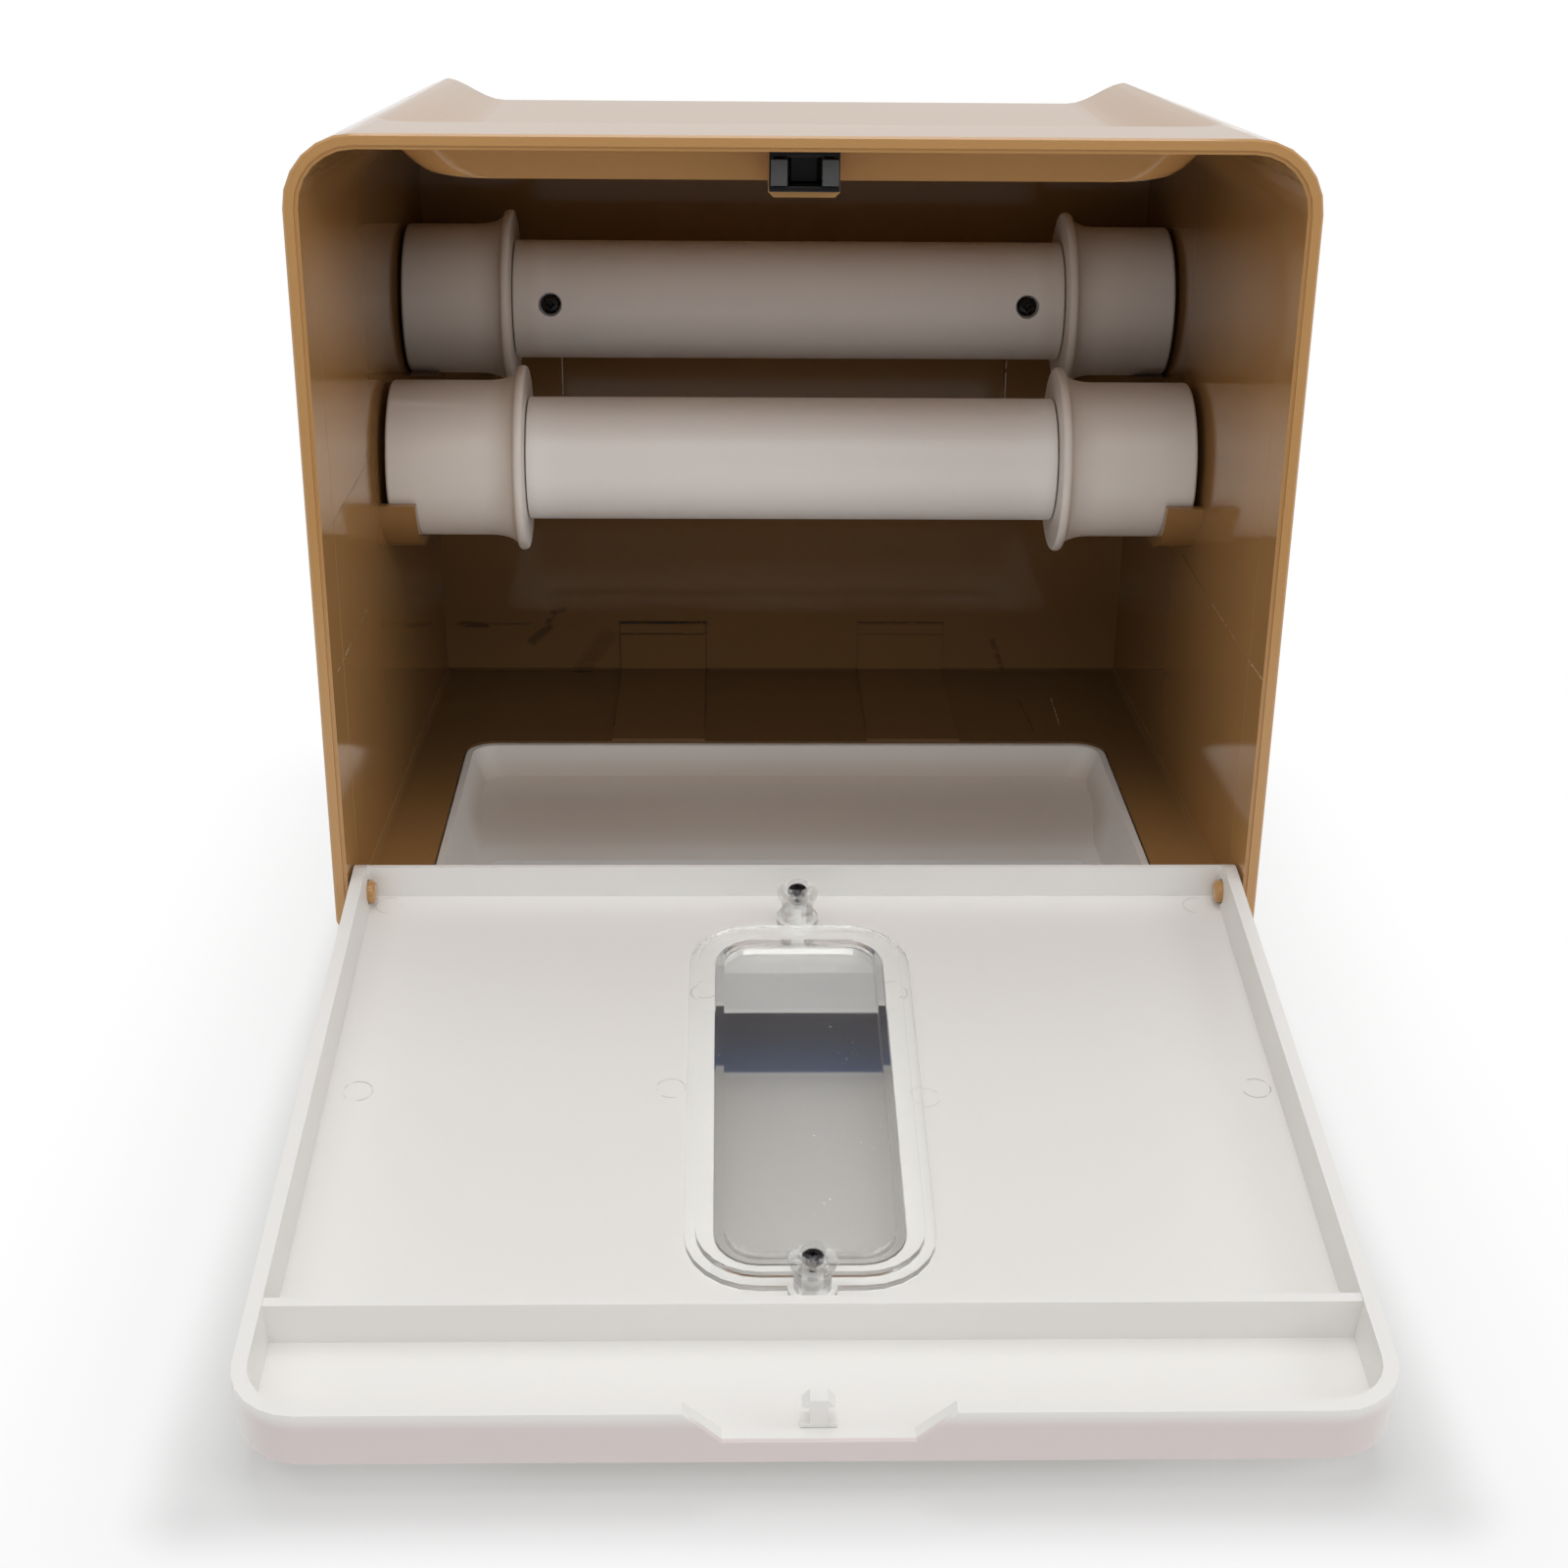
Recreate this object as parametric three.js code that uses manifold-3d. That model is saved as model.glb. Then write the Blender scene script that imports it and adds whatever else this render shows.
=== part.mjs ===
// Paper roll dispenser, wall or table type: a tan case open at the front, a white drop-down door
// with a clear level window, two turning roll spindles, a push catch and a white outlet base.
// Millimetres, +Z up. The front faces -Y, and the sizes below count from the case rim and top.
import * as THREE from 'three';
import { mergeVertices } from 'three/addons/utils/BufferGeometryUtils.js';
import Module from 'manifold-3d';

const wasm = await Module();
wasm.setup();

// Fits shared by the whole product
const seatGap = 0.3;
const overrun = 1.5;
const weld = 0.0001;
const roundSegments = 32;
const cornerSteps = 6;
const smallSegments = 16;
const postSegments = 24;

// Tan case
const caseTopWidth = 220;
const caseBottomWidth = 215.8;
const caseHeight = 182;
const caseDepth = 180;
const caseWall = 3.3;
const caseBackWall = 3.2;
const sideDraft = 4.5;
const topDraft = 6.5;
const topCornerRadius = 15.5;
const bottomCornerRadius = 2.5;
const floorCornerRadius = 1.5;
const rearEdgeRadius = 3;
const rimEdge = 0.5;
const rimBand = 2.4;
const rimStep = 0.6;

// Phone shelf sunk in the top, open at the back
const shelfFront = 29;
const shelfFrontDepth = 9.6;
const shelfBackDepth = 12.8;
const shelfFloorHalf = 78;
const shelfShoulderHalf = 96;
const shelfCornerRadius = 13;
const shelfWall = 3.1;
const shelfCurveSteps = 7;
const shelfCornerSteps = 5;

// Door: outer half width is taken from the rim opening
const doorClearance = 0.6;
const doorThickness = 12.9;
const doorReach = 171.1;
const doorPanel = 3;
const doorSideWall = 2.9;
const doorWallDraft = 0.5;
const doorFreeWall = 3;
const doorCornerRadius = 13;
const doorFaceRadius = 1.3;
const doorRibInset = 29;
const doorRibThickness = 2.2;
const doorRibHeight = 9.4;
const doorHingeRibFace = 3.2;
const doorHingeRibTop = 4.8;
const notchTopHalf = 24.5;
const notchBottomHalf = 17.4;
const notchFloor = 5.7;
const openSlopeDegrees = 10.6;

// Hinge pins moulded on the case walls
const pinDiameter = 5.4;
const pinTip = 1.8;
const pinChamfer = 0.6;
const pinAboveFloor = 3.5;
const floorFront = 14.8;

// Strike stud on the door and the push catch that takes it
const strikeInset = 5;
const strikeLength = 3;
const strikeFootHalf = 3.3;
const strikeNeckHalf = 1.6;
const strikeHeadHalf = 3;
const strikeNeckFrom = 6.6;
const strikeHeadFrom = 10.7;
const strikeTop = 12.4;
const catchFront = 7.6;
const catchBezelHalf = 7.55;
const catchBezelTop = 4;
const catchBezelBottom = 12.6;
const catchBezelLength = 2.6;
const catchBodyHalf = 6.2;
const catchBodyTop = 4.6;
const catchBodyBottom = 12.4;
const catchBack = 25.3;
const catchWall = 1;
const catchCavityTop = 5.3;
const catchStroke = 2.5;
const catchMouthHalf = 6.6;
const jawTipLead = 1.6;
const jawHookHalf = 3.7;
const jawHookLength = 1.8;
const jawTipHalf = 7.3;
const jawHeadHalf = 6.5;
const jawInnerHalf = 4.15;
const jawOuterHalf = 4.8;
const jawPivotHalf = 4.2;
const jawPivotReach = 9.1;
const jawPivotRadius = 0.6;
const plungerNose = 12.7;
const plungerNoseHalf = 2.9;
const plungerFlange = 1.6;
const springDiameter = 4;
const springWire = 0.6;
const springTurns = 5;
const bracketWall = 1.2;
const bracketFloor = 1.4;
const bracketChamfer = 1.1;

// Roll spindles: tube between two flanged caps
const spindleEndGap = 0.15;
const tubeDiameter = 31.1;
const tubeWall = 2.2;
const hubDiameter = 39.4;
const hubWall = 2.2;
const hubEdge = 0.9;
const flangeDiameter = 47;
const flangeThickness = 2.4;
const flangeCove = 7.5;
const sleeveLength = 17;
const sleeveWall = 2;
const tubeScrewInset = 10.2;
const tubeScrewHole = 6.2;
const tubeScrewHead = 5.2;
const tubeScrewHeadHeight = 1.8;
const tubeScrewShank = 1.8;
const tubeScrewLength = 3;
const tubeScrewPilot = 2.5;
const upperAxisBack = 141.1;
const upperAxisDrop = 60.5;
const upperFlangeHalf = 73.3;
const lowerAxisBack = 95.2;
const lowerAxisDrop = 92.7;
const lowerFlangeHalf = 67.4;
const upperScrewDegrees = 175;
const lowerScrewDegrees = 48;

// Cradles on the side walls
const cradleReach = 8.8;
const cradleWall = 2.6;
const cradleTipDrop = 7.3;
const upperCradleTipDegrees = 65.5;

// Hanging pockets and slider pads on the back wall
const pocketInnerHalf = 63.2;
const pocketWidth = 20;
const pocketTop = 62;
const pocketHeight = 60;
const pocketRise = 5;
const pocketWall = 2;
const padInnerHalf = 22.6;
const padWidth = 25.8;
const padHeight = 15.4;
const padRise = 0.7;

// Outlet: hole in the case floor over the tray of the white base
const outletInset = 16.6;
const outletFront = 20;
const outletBack = 116.6;
const outletCornerRadius = 8;
const trayWall = 1.8;
const trayRimDrop = 0.5;
const traySideDraft = 3;
const trayLedgeDepth = 9.1;
const trayFloorDepth = 14.1;
const trayLedgeLength = 22.5;
const traySlopeLength = 14.5;
const slotInset = 10.9;
const slotFront = 50;
const slotBack = 64;
const slotBead = 2;
const slotBeadRise = 1.2;
const baseHeight = 38;
const baseFlare = 0.5;
const baseDraft = 1.8;
const baseWall = 2.8;
const basePlate = 2.4;
const baseCornerRadius = 4;
const baseFrontRelief = 1;
const exitInset = 23.9;
const exitHeight = 14.9;
const exitRadius = 7;

// Screws that hold the base to the case, from below
const baseScrewInset = 10.5;
const baseScrewFront = 37;
const baseScrewBack = 150;
const bossDiameter = 7.4;
const bossLength = 8;
const bossPilot = 2.9;
const bossPilotCover = 1.4;
const cupWall = 2;
const cupFloor = 2;
const baseScrewHole = 3.3;
const baseScrewHead = 6.4;
const baseScrewHeadHeight = 2;
const baseScrewShank = 2.3;
const baseScrewLength = 9;

// Clear window insert and its screws
const windowHoleHalf = 19.2;
const windowHoleFrom = 17;
const windowHoleInset = 46.5;
const windowHoleRadius = 9;
const windowFlangeMargin = 5.8;
const windowFlangeRise = 1.4;
const windowRingInset = 2.2;
const windowRingRise = 3;
const windowPlugWall = 1.8;
const windowPane = 1.8;
const windowPaneSet = 0.4;
const postHingeReach = 7.4;
const postFreeInset = 40.7;
const postDiameter = 7.4;
const postFootDiameter = 9.8;
const postBulb = 9.7;
const postHeight = 10.4;
const postBulbLength = 4.6;
const postBore = 5;
const postSeat = 2.6;
const postHole = 2.8;
const studDiameter = 4.2;
const studHeight = 6;
const studPilot = 1.9;
const windowScrewHead = 4.4;
const windowScrewHeadHeight = 1.7;
const windowScrewShank = 1.3;
const windowScrewLength = 6;

// Sizes worked out from the ones above
const openSlope = THREE.MathUtils.degToRad(openSlopeDegrees);
const caseWidest = Math.max(caseTopWidth, caseBottomWidth) / 2;
const doorRibReach = doorReach - doorRibInset;
const strikeReach = doorReach - strikeInset;
const windowHoleTo = doorReach - windowHoleInset;
const wallLean = Math.hypot(sideDraft / caseDepth, (caseTopWidth - caseBottomWidth) / 2 / caseHeight);
const wallBeside = (back, drop) => caseHalf(back, -drop) - caseWall - (hubDiameter / 2) * wallLean;
const nearerWall = Math.min(wallBeside(upperAxisBack, upperAxisDrop), wallBeside(lowerAxisBack, lowerAxisDrop));
const spindleEnd = nearerWall - spindleEndGap;
const cradleRadius = hubDiameter / 2 + seatGap;
const upperCradleTipDrop = cradleRadius * Math.sin(THREE.MathUtils.degToRad(upperCradleTipDegrees));
const outletHalf = caseHalf(outletBack, -caseHeight) - outletInset;
const slotHalf = outletHalf - slotInset;
const exitHalf = caseHalf(0, -caseHeight) - exitInset;
const floorTop = -caseHeight + caseWall;
const pinHeight = floorTop + pinAboveFloor;
const hingeRadius = doorThickness / 2;
const strikeHeight = pinHeight + strikeReach;
const baseTop = -caseHeight - seatGap;
const trayRim = floorTop - trayRimDrop;
const baseBottom = baseTop - baseHeight;
const doorFrontReach = doorReach * Math.cos(openSlope) + hingeRadius * Math.sin(openSlope) - hingeRadius;

const finishes = {
  tan: new THREE.MeshStandardMaterial({ name: 'tan_abs', color: '#a67c4e', roughness: 0.28, metalness: 0 }),
  white: new THREE.MeshStandardMaterial({ name: 'white_abs', color: '#e2e1dd', roughness: 0.38, metalness: 0 }),
  spindle: new THREE.MeshStandardMaterial({ name: 'spindle_abs', color: '#cdc4b8', roughness: 0.42, metalness: 0 }),
  black: new THREE.MeshStandardMaterial({ name: 'catch_black', color: '#111111', roughness: 0.4, metalness: 0 }),
  grey: new THREE.MeshStandardMaterial({ name: 'jaw_grey', color: '#474a49', roughness: 0.45, metalness: 0 }),
  clear: new THREE.MeshStandardMaterial({ name: 'window_clear', color: '#dfe4e6', roughness: 0.1, metalness: 0 }),
  steel: new THREE.MeshStandardMaterial({ name: 'screw_dark', color: '#3c3c3e', roughness: 0.35, metalness: 0.9 }),
};
finishes.clear.transparent = true;
finishes.clear.opacity = 0.35;

const axisX = new THREE.Vector3(1, 0, 0);
const axisY = new THREE.Vector3(0, 1, 0);
const axisZ = new THREE.Vector3(0, 0, 1);

// A closed geometry becomes a solid once its shared vertices are merged
function solidOf(geometry) {
  const bare = geometry.index ? geometry.toNonIndexed() : geometry.clone();
  bare.deleteAttribute('normal');
  bare.deleteAttribute('uv');
  const merged = mergeVertices(bare, weld);
  const corners = merged.index.array;
  const kept = [];
  for (let i = 0; i < corners.length; i += 3) {
    const [a, b, c] = [corners[i], corners[i + 1], corners[i + 2]];
    if (a !== b && b !== c && c !== a) kept.push(a, b, c);
  }
  const vertProperties = new Float32Array(merged.attributes.position.array);
  return new wasm.Manifold(new wasm.Mesh({ numProp: 3, vertProperties, triVerts: new Uint32Array(kept) }));
}

// Points of a polygon with each corner rounded by its own radius
function rounded(corners, radii, steps = cornerSteps) {
  const points = [];
  corners.forEach((corner, i) => {
    const before = corners[(i + corners.length - 1) % corners.length];
    const after = corners[(i + 1) % corners.length];
    const radius = Array.isArray(radii) ? radii[i] : radii;
    const inward = before.clone().sub(corner).normalize();
    const outward = after.clone().sub(corner).normalize();
    const half = Math.acos(THREE.MathUtils.clamp(inward.dot(outward), -1, 1)) / 2;
    const reach = radius / Math.tan(half);
    const centre = inward.clone().add(outward).normalize().multiplyScalar(radius / Math.sin(half)).add(corner);
    const first = inward.clone().multiplyScalar(reach).add(corner).sub(centre);
    const last = outward.clone().multiplyScalar(reach).add(corner).sub(centre);
    const turn = Math.atan2(first.cross(last), first.dot(last));
    for (let k = 0; k <= steps; k += 1) {
      const angle = (turn * k) / steps;
      points.push(first.clone().rotateAround(new THREE.Vector2(), angle).add(centre));
    }
  });
  return points;
}

function rectangle(left, right, low, high) {
  return [
    new THREE.Vector2(left, low),
    new THREE.Vector2(right, low),
    new THREE.Vector2(right, high),
    new THREE.Vector2(left, high),
  ];
}

function circle(across, up, radius, segments = roundSegments) {
  const points = [];
  for (let k = 0; k < segments; k += 1) {
    const angle = (2 * Math.PI * k) / segments;
    points.push(new THREE.Vector2(across + radius * Math.cos(angle), up + radius * Math.sin(angle)));
  }
  return points;
}

// Straight extrusion: the outline is (y, z) along x, (x, z) along y, or (x, y) along z
function extruded(axis, outline, from, to) {
  const geometry = new THREE.ExtrudeGeometry(new THREE.Shape(outline), { depth: to - from, bevelEnabled: false });
  const basis = new THREE.Matrix4();
  if (axis === 'x') basis.makeBasis(axisY, axisZ, axisX).setPosition(from, 0, 0);
  if (axis === 'y') basis.makeBasis(axisX, axisZ, axisY.clone().negate()).setPosition(0, to, 0);
  if (axis === 'z') basis.setPosition(0, 0, from);
  return solidOf(geometry.applyMatrix4(basis));
}

function block(left, right, front, back, low, high) {
  return extruded('z', rectangle(left, right, front, back), low, high);
}

// Skin over sections that have equally many points, with flat ends
function loft(sections, flatten) {
  const positions = [];
  const add = (...corners) => corners.forEach((p) => positions.push(p.x, p.y, p.z));
  for (let i = 1; i < sections.length; i += 1) {
    const [near, far] = [sections[i - 1], sections[i]];
    near.forEach((point, j) => {
      const k = (j + 1) % near.length;
      add(point, far[j], far[k]);
      add(point, far[k], near[k]);
    });
  }
  const cap = (section, reversed) => {
    const flat = section.map(flatten);
    const forward = THREE.ShapeUtils.area(flat) > 0;
    THREE.ShapeUtils.triangulateShape(flat, []).forEach(([a, b, c]) => {
      const positive = THREE.ShapeUtils.area([flat[a], flat[b], flat[c]]) > 0;
      if ((positive === forward) !== reversed) add(section[a], section[b], section[c]);
      else add(section[a], section[c], section[b]);
    });
  };
  cap(sections[0], false);
  cap(sections[sections.length - 1], true);
  const geometry = new THREE.BufferGeometry();
  geometry.setAttribute('position', new THREE.Float32BufferAttribute(positions, 3));
  return solidOf(outwardFacing(geometry));
}

function outwardFacing(geometry) {
  const place = geometry.attributes.position;
  const [a, b, c] = [new THREE.Vector3(), new THREE.Vector3(), new THREE.Vector3()];
  let volume = 0;
  for (let i = 0; i < place.count; i += 3) {
    a.fromBufferAttribute(place, i);
    b.fromBufferAttribute(place, i + 1);
    c.fromBufferAttribute(place, i + 2);
    volume += a.dot(b.cross(c));
  }
  if (volume > 0) return geometry;
  for (let i = 0; i < place.count; i += 3) {
    b.fromBufferAttribute(place, i + 1);
    c.fromBufferAttribute(place, i + 2);
    place.setXYZ(i + 1, c.x, c.y, c.z);
    place.setXYZ(i + 2, b.x, b.y, b.z);
  }
  return geometry;
}

// Profile of (radius, height) pairs turned about an axis through the origin
function turned(axis, profile, segments = roundSegments) {
  const geometry = new THREE.LatheGeometry(profile.map(([r, h]) => new THREE.Vector2(r, h)), segments);
  if (axis === 'x') geometry.rotateZ(-Math.PI / 2);
  if (axis === 'z') geometry.rotateX(Math.PI / 2);
  return solidOf(geometry);
}

function join(first, ...others) {
  return others.reduce((sum, body) => sum.add(body), first);
}

function cut(first, ...others) {
  return others.reduce((rest, body) => rest.subtract(body), first);
}

function piece(name, body, finish, parent) {
  const mesh = body.getMesh();
  const geometry = new THREE.BufferGeometry();
  geometry.setAttribute('position', new THREE.BufferAttribute(new Float32Array(mesh.vertProperties), 3));
  geometry.setIndex(new THREE.BufferAttribute(new Uint32Array(mesh.triVerts), 1));
  geometry.computeVertexNormals();
  const node = new THREE.Mesh(geometry, finish);
  node.name = name;
  parent.add(node);
  return node;
}

const mirroredX = (body) => body.mirror([1, 0, 0]);
const sides = [['left', -1], ['right', 1]];

// Half width of the case's outer side at a depth behind the rim and a height below the top
function caseHalf(back, height) {
  const widen = (caseTopWidth - caseBottomWidth) / 2;
  return caseTopWidth / 2 - (widen * -height) / caseHeight - (sideDraft * back) / caseDepth;
}

function caseTop(back) {
  return (-topDraft * back) / caseDepth;
}

// Cross-section of the case at one depth, moved inwards all round by an inset
function caseSection(back, inset, bottom, radii) {
  const top = caseTop(back) - inset;
  const topHalf = caseHalf(back, 0) - inset;
  const bottomHalf = caseHalf(back, -caseHeight) - inset;
  const corners = [
    new THREE.Vector2(-bottomHalf, bottom),
    new THREE.Vector2(bottomHalf, bottom),
    new THREE.Vector2(topHalf, top),
    new THREE.Vector2(-topHalf, top),
  ];
  const [low, high] = radii;
  return rounded(corners, [low, low, high, high]).map((p) => new THREE.Vector3(p.x, back, p.y));
}

const frontView = (p) => new THREE.Vector2(p.x, p.z);
const planView = (p) => new THREE.Vector2(p.x, p.y);

function caseOutside() {
  const sections = [
    caseSection(0, rimEdge, -caseHeight + rimEdge, [bottomCornerRadius, topCornerRadius - rimEdge]),
    caseSection(rimEdge, 0, -caseHeight, [bottomCornerRadius, topCornerRadius]),
  ];
  const arcSteps = 4;
  for (let k = 0; k <= arcSteps; k += 1) {
    const angle = (Math.PI / 2) * (k / arcSteps);
    const inset = rearEdgeRadius * (1 - Math.cos(angle));
    const back = caseDepth - rearEdgeRadius * (1 - Math.sin(angle));
    const low = bottomCornerRadius;
    sections.push(caseSection(back, inset, -caseHeight + inset, [low, topCornerRadius - inset]));
  }
  return loft(sections, frontView);
}

function caseCavity(front, back, inset, bottom) {
  const radii = [floorCornerRadius, topCornerRadius - inset];
  return loft([caseSection(front, inset, bottom, radii), caseSection(back, inset, bottom, radii)], frontView);
}

// The shelf trough, grown by a wall when it stands for the shelf's underside
function shelfTrough(grow) {
  const section = (back, narrower) => {
    const top = caseTop(back);
    const along = (back - shelfFront) / (caseDepth - shelfFront);
    const floor = -THREE.MathUtils.lerp(shelfFrontDepth, shelfBackDepth, along) - grow;
    const floorHalf = shelfFloorHalf + grow - narrower;
    const shoulderHalf = shelfShoulderHalf + grow - narrower;
    const half = [];
    for (let k = 0; k <= shelfCurveSteps; k += 1) {
      const share = k / shelfCurveSteps;
      const rise = (1 - Math.cos(Math.PI * share)) / 2;
      half.push([THREE.MathUtils.lerp(floorHalf, shoulderHalf, share), THREE.MathUtils.lerp(floor, top, rise)]);
    }
    half.push([shoulderHalf, overrun]);
    const right = half.map(([x, z]) => new THREE.Vector3(x, back, z));
    const left = half.map(([x, z]) => new THREE.Vector3(-x, back, z)).reverse();
    return [...right, ...left];
  };
  const sections = [];
  for (let k = 0; k <= shelfCornerSteps; k += 1) {
    const angle = (Math.PI / 2) * (k / shelfCornerSteps);
    const back = shelfFront - grow + shelfCornerRadius * (1 - Math.cos(angle));
    sections.push(section(back, shelfCornerRadius * (1 - Math.sin(angle))));
  }
  sections.push(section(caseDepth + overrun, 0));
  return loft(sections, frontView);
}

// Saddle on one side wall, open at the top, its front lip ending at frontDrop below the axis
function cradle(axisBack, axisDrop, frontDrop) {
  const inner = cradleRadius;
  const outer = inner + cradleWall;
  const tip = (radius) => Math.asin(-cradleTipDrop / radius);
  const frontTip = (radius) => -Math.PI - Math.asin(-frontDrop / radius);
  const arc = (radius, from, to) => {
    const points = [];
    for (let k = 0; k <= roundSegments / 2; k += 1) {
      const angle = THREE.MathUtils.lerp(from, to, k / (roundSegments / 2));
      points.push(new THREE.Vector2(axisBack + radius * Math.cos(angle), -axisDrop + radius * Math.sin(angle)));
    }
    return points;
  };
  const outline = [
    ...arc(outer, frontTip(outer), tip(outer)),
    ...arc(inner, tip(inner), frontTip(inner)),
  ];
  const wallFace = caseHalf(axisBack, -axisDrop) - caseWall;
  return extruded('x', outline, wallFace - cradleReach, wallFace + caseWall / 2);
}

function hingePin() {
  const wallFace = caseHalf(hingeRadius, pinHeight) - caseWall;
  const radius = pinDiameter / 2;
  const inner = wallFace - doorClearance - doorSideWall - pinTip;
  const profile = [
    [0, inner],
    [radius - pinChamfer, inner],
    [radius, inner + pinChamfer],
    [radius, wallFace + caseWall / 2],
    [0, wallFace + caseWall / 2],
  ];
  return turned('x', profile).translate([0, hingeRadius, pinHeight]);
}

function pocketBox(inset, front, back) {
  const inner = pocketInnerHalf + inset;
  const outer = pocketInnerHalf + pocketWidth - inset;
  return block(inner, outer, front, back, -pocketTop - pocketHeight + inset, -pocketTop - inset);
}

function sliderPad() {
  const backFace = caseDepth - caseBackWall;
  const outer = padInnerHalf + padWidth;
  const onWall = block(padInnerHalf, outer, backFace - padRise, backFace + padRise, floorTop - padRise, floorTop + padHeight);
  const onFloor = block(padInnerHalf, outer, outletBack, backFace + padRise, floorTop - padRise, floorTop + padRise);
  return onWall.add(onFloor);
}

// Channel under the ceiling that holds the catch from behind its bezel
function catchBracket() {
  const inner = catchBodyHalf + seatGap;
  const outer = inner + bracketWall;
  const top = -catchBodyBottom - seatGap;
  const bottom = top - bracketFloor;
  const front = catchFront + catchBezelLength + seatGap;
  const back = shelfFront - shelfWall / 2;
  const outline = [
    new THREE.Vector2(-outer, -caseWall / 2),
    new THREE.Vector2(-outer, bottom + bracketChamfer),
    new THREE.Vector2(-outer + bracketChamfer, bottom),
    new THREE.Vector2(outer - bracketChamfer, bottom),
    new THREE.Vector2(outer, bottom + bracketChamfer),
    new THREE.Vector2(outer, -caseWall / 2),
  ];
  const inside = extruded('y', rectangle(-inner, inner, top, overrun), front - overrun, back + overrun);
  return extruded('y', outline, front, back).subtract(inside);
}

function outletOutline() {
  return rounded(rectangle(-outletHalf, outletHalf, outletFront, outletBack), outletCornerRadius);
}

const baseScrewPlaces = [['front', baseScrewFront], ['back', baseScrewBack]].flatMap(([end, back]) => {
  const across = caseHalf(back, -caseHeight) - baseScrewInset;
  return sides.map(([side, sign]) => [`${end}_${side}`, sign * across, back]);
});

function caseShell() {
  const cavityBack = caseDepth - caseBackWall;
  const cavity = caseCavity(-overrun, cavityBack, caseWall, floorTop).subtract(shelfTrough(shelfWall));
  let shell = cut(
    caseOutside(),
    shelfTrough(0),
    cavity,
    caseCavity(-overrun, floorFront, caseWall, -caseHeight - overrun),
    caseCavity(-overrun, rimStep, rimBand, -caseHeight - overrun),
  );
  const cradles = [
    cradle(upperAxisBack, upperAxisDrop, upperCradleTipDrop),
    cradle(lowerAxisBack, lowerAxisDrop, cradleTipDrop),
  ];
  const onePerSide = [
    ...cradles,
    hingePin(),
    pocketBox(0, cavityBack - pocketRise, caseDepth - caseBackWall / 2),
    sliderPad(),
  ];
  shell = join(shell, catchBracket(), ...onePerSide, ...onePerSide.map(mirroredX));
  const recess = pocketBox(pocketWall, cavityBack - pocketRise + pocketWall, caseDepth + overrun);
  shell = cut(
    shell,
    recess,
    mirroredX(recess),
    extruded('z', outletOutline(), -caseHeight - overrun, floorTop + padRise + overrun),
  );
  baseScrewPlaces.forEach(([, across, back]) => {
    const tip = -caseHeight - bossLength;
    shell = shell.add(extruded('z', circle(across, back, bossDiameter / 2, smallSegments), tip, floorTop - caseWall / 2));
    const pilotTop = floorTop - bossPilotCover;
    shell = shell.subtract(extruded('z', circle(across, back, bossPilot / 2, smallSegments), tip - overrun, pilotTop));
  });
  return shell;
}

// Outline of the base in plan, moved inwards by an inset
function baseSection(height, inset) {
  const front = caseHalf(0, -caseHeight) + baseFlare - inset;
  const back = caseHalf(caseDepth, -caseHeight) + baseFlare - inset;
  const corners = [
    new THREE.Vector2(-front, inset),
    new THREE.Vector2(front, inset),
    new THREE.Vector2(back, caseDepth - inset),
    new THREE.Vector2(-back, caseDepth - inset),
  ];
  const radius = Math.max(baseCornerRadius - inset, floorCornerRadius);
  return rounded(corners, radius).map((p) => new THREE.Vector3(p.x, p.y, height));
}

// Tray hollow inside the outlet hole, its side walls drafted, grown by a wall for its outside
function trayHollow(grow, top) {
  const ledge = trayRim - trayLedgeDepth - grow;
  const floor = trayRim - trayFloorDepth - grow;
  const front = outletFront - overrun;
  const back = outletBack + overrun;
  const ledgeFrom = outletBack - trayLedgeLength - grow;
  const outline = [
    new THREE.Vector2(back, top),
    new THREE.Vector2(front, top),
    new THREE.Vector2(front, ledge),
    new THREE.Vector2(outletFront + trayWall, ledge),
    new THREE.Vector2(outletFront + trayWall + traySlopeLength / 2, floor),
    new THREE.Vector2(ledgeFrom - traySlopeLength, floor),
    new THREE.Vector2(ledgeFrom, ledge),
    new THREE.Vector2(back, ledge),
  ];
  const plan = (height) => {
    const end = seatGap + trayWall - grow;
    const side = end + (traySideDraft * (trayRim - height)) / trayLedgeDepth;
    const corners = rectangle(-outletHalf + side, outletHalf - side, outletFront + end, outletBack - end);
    return rounded(corners, outletCornerRadius - end).map((p) => new THREE.Vector3(p.x, p.y, height));
  };
  const walls = loft([plan(top), plan(floor - overrun)], planView);
  return extruded('x', outline, -outletHalf - overrun, outletHalf + overrun).intersect(walls);
}

function slotOutline(grow) {
  const corners = rectangle(-slotHalf - grow, slotHalf + grow, slotFront - grow, slotBack + grow);
  return rounded(corners, (slotBack - slotFront) / 4 + grow);
}

// Arch in the front of the skirt, where the paper comes out
function exitArch() {
  const spring = baseBottom + exitHeight;
  const corners = rectangle(-exitHalf, exitHalf, baseBottom - exitRadius - overrun, spring);
  return extruded('y', rounded(corners, exitRadius), -overrun, baseWall + baseDraft + baseWall);
}

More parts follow.
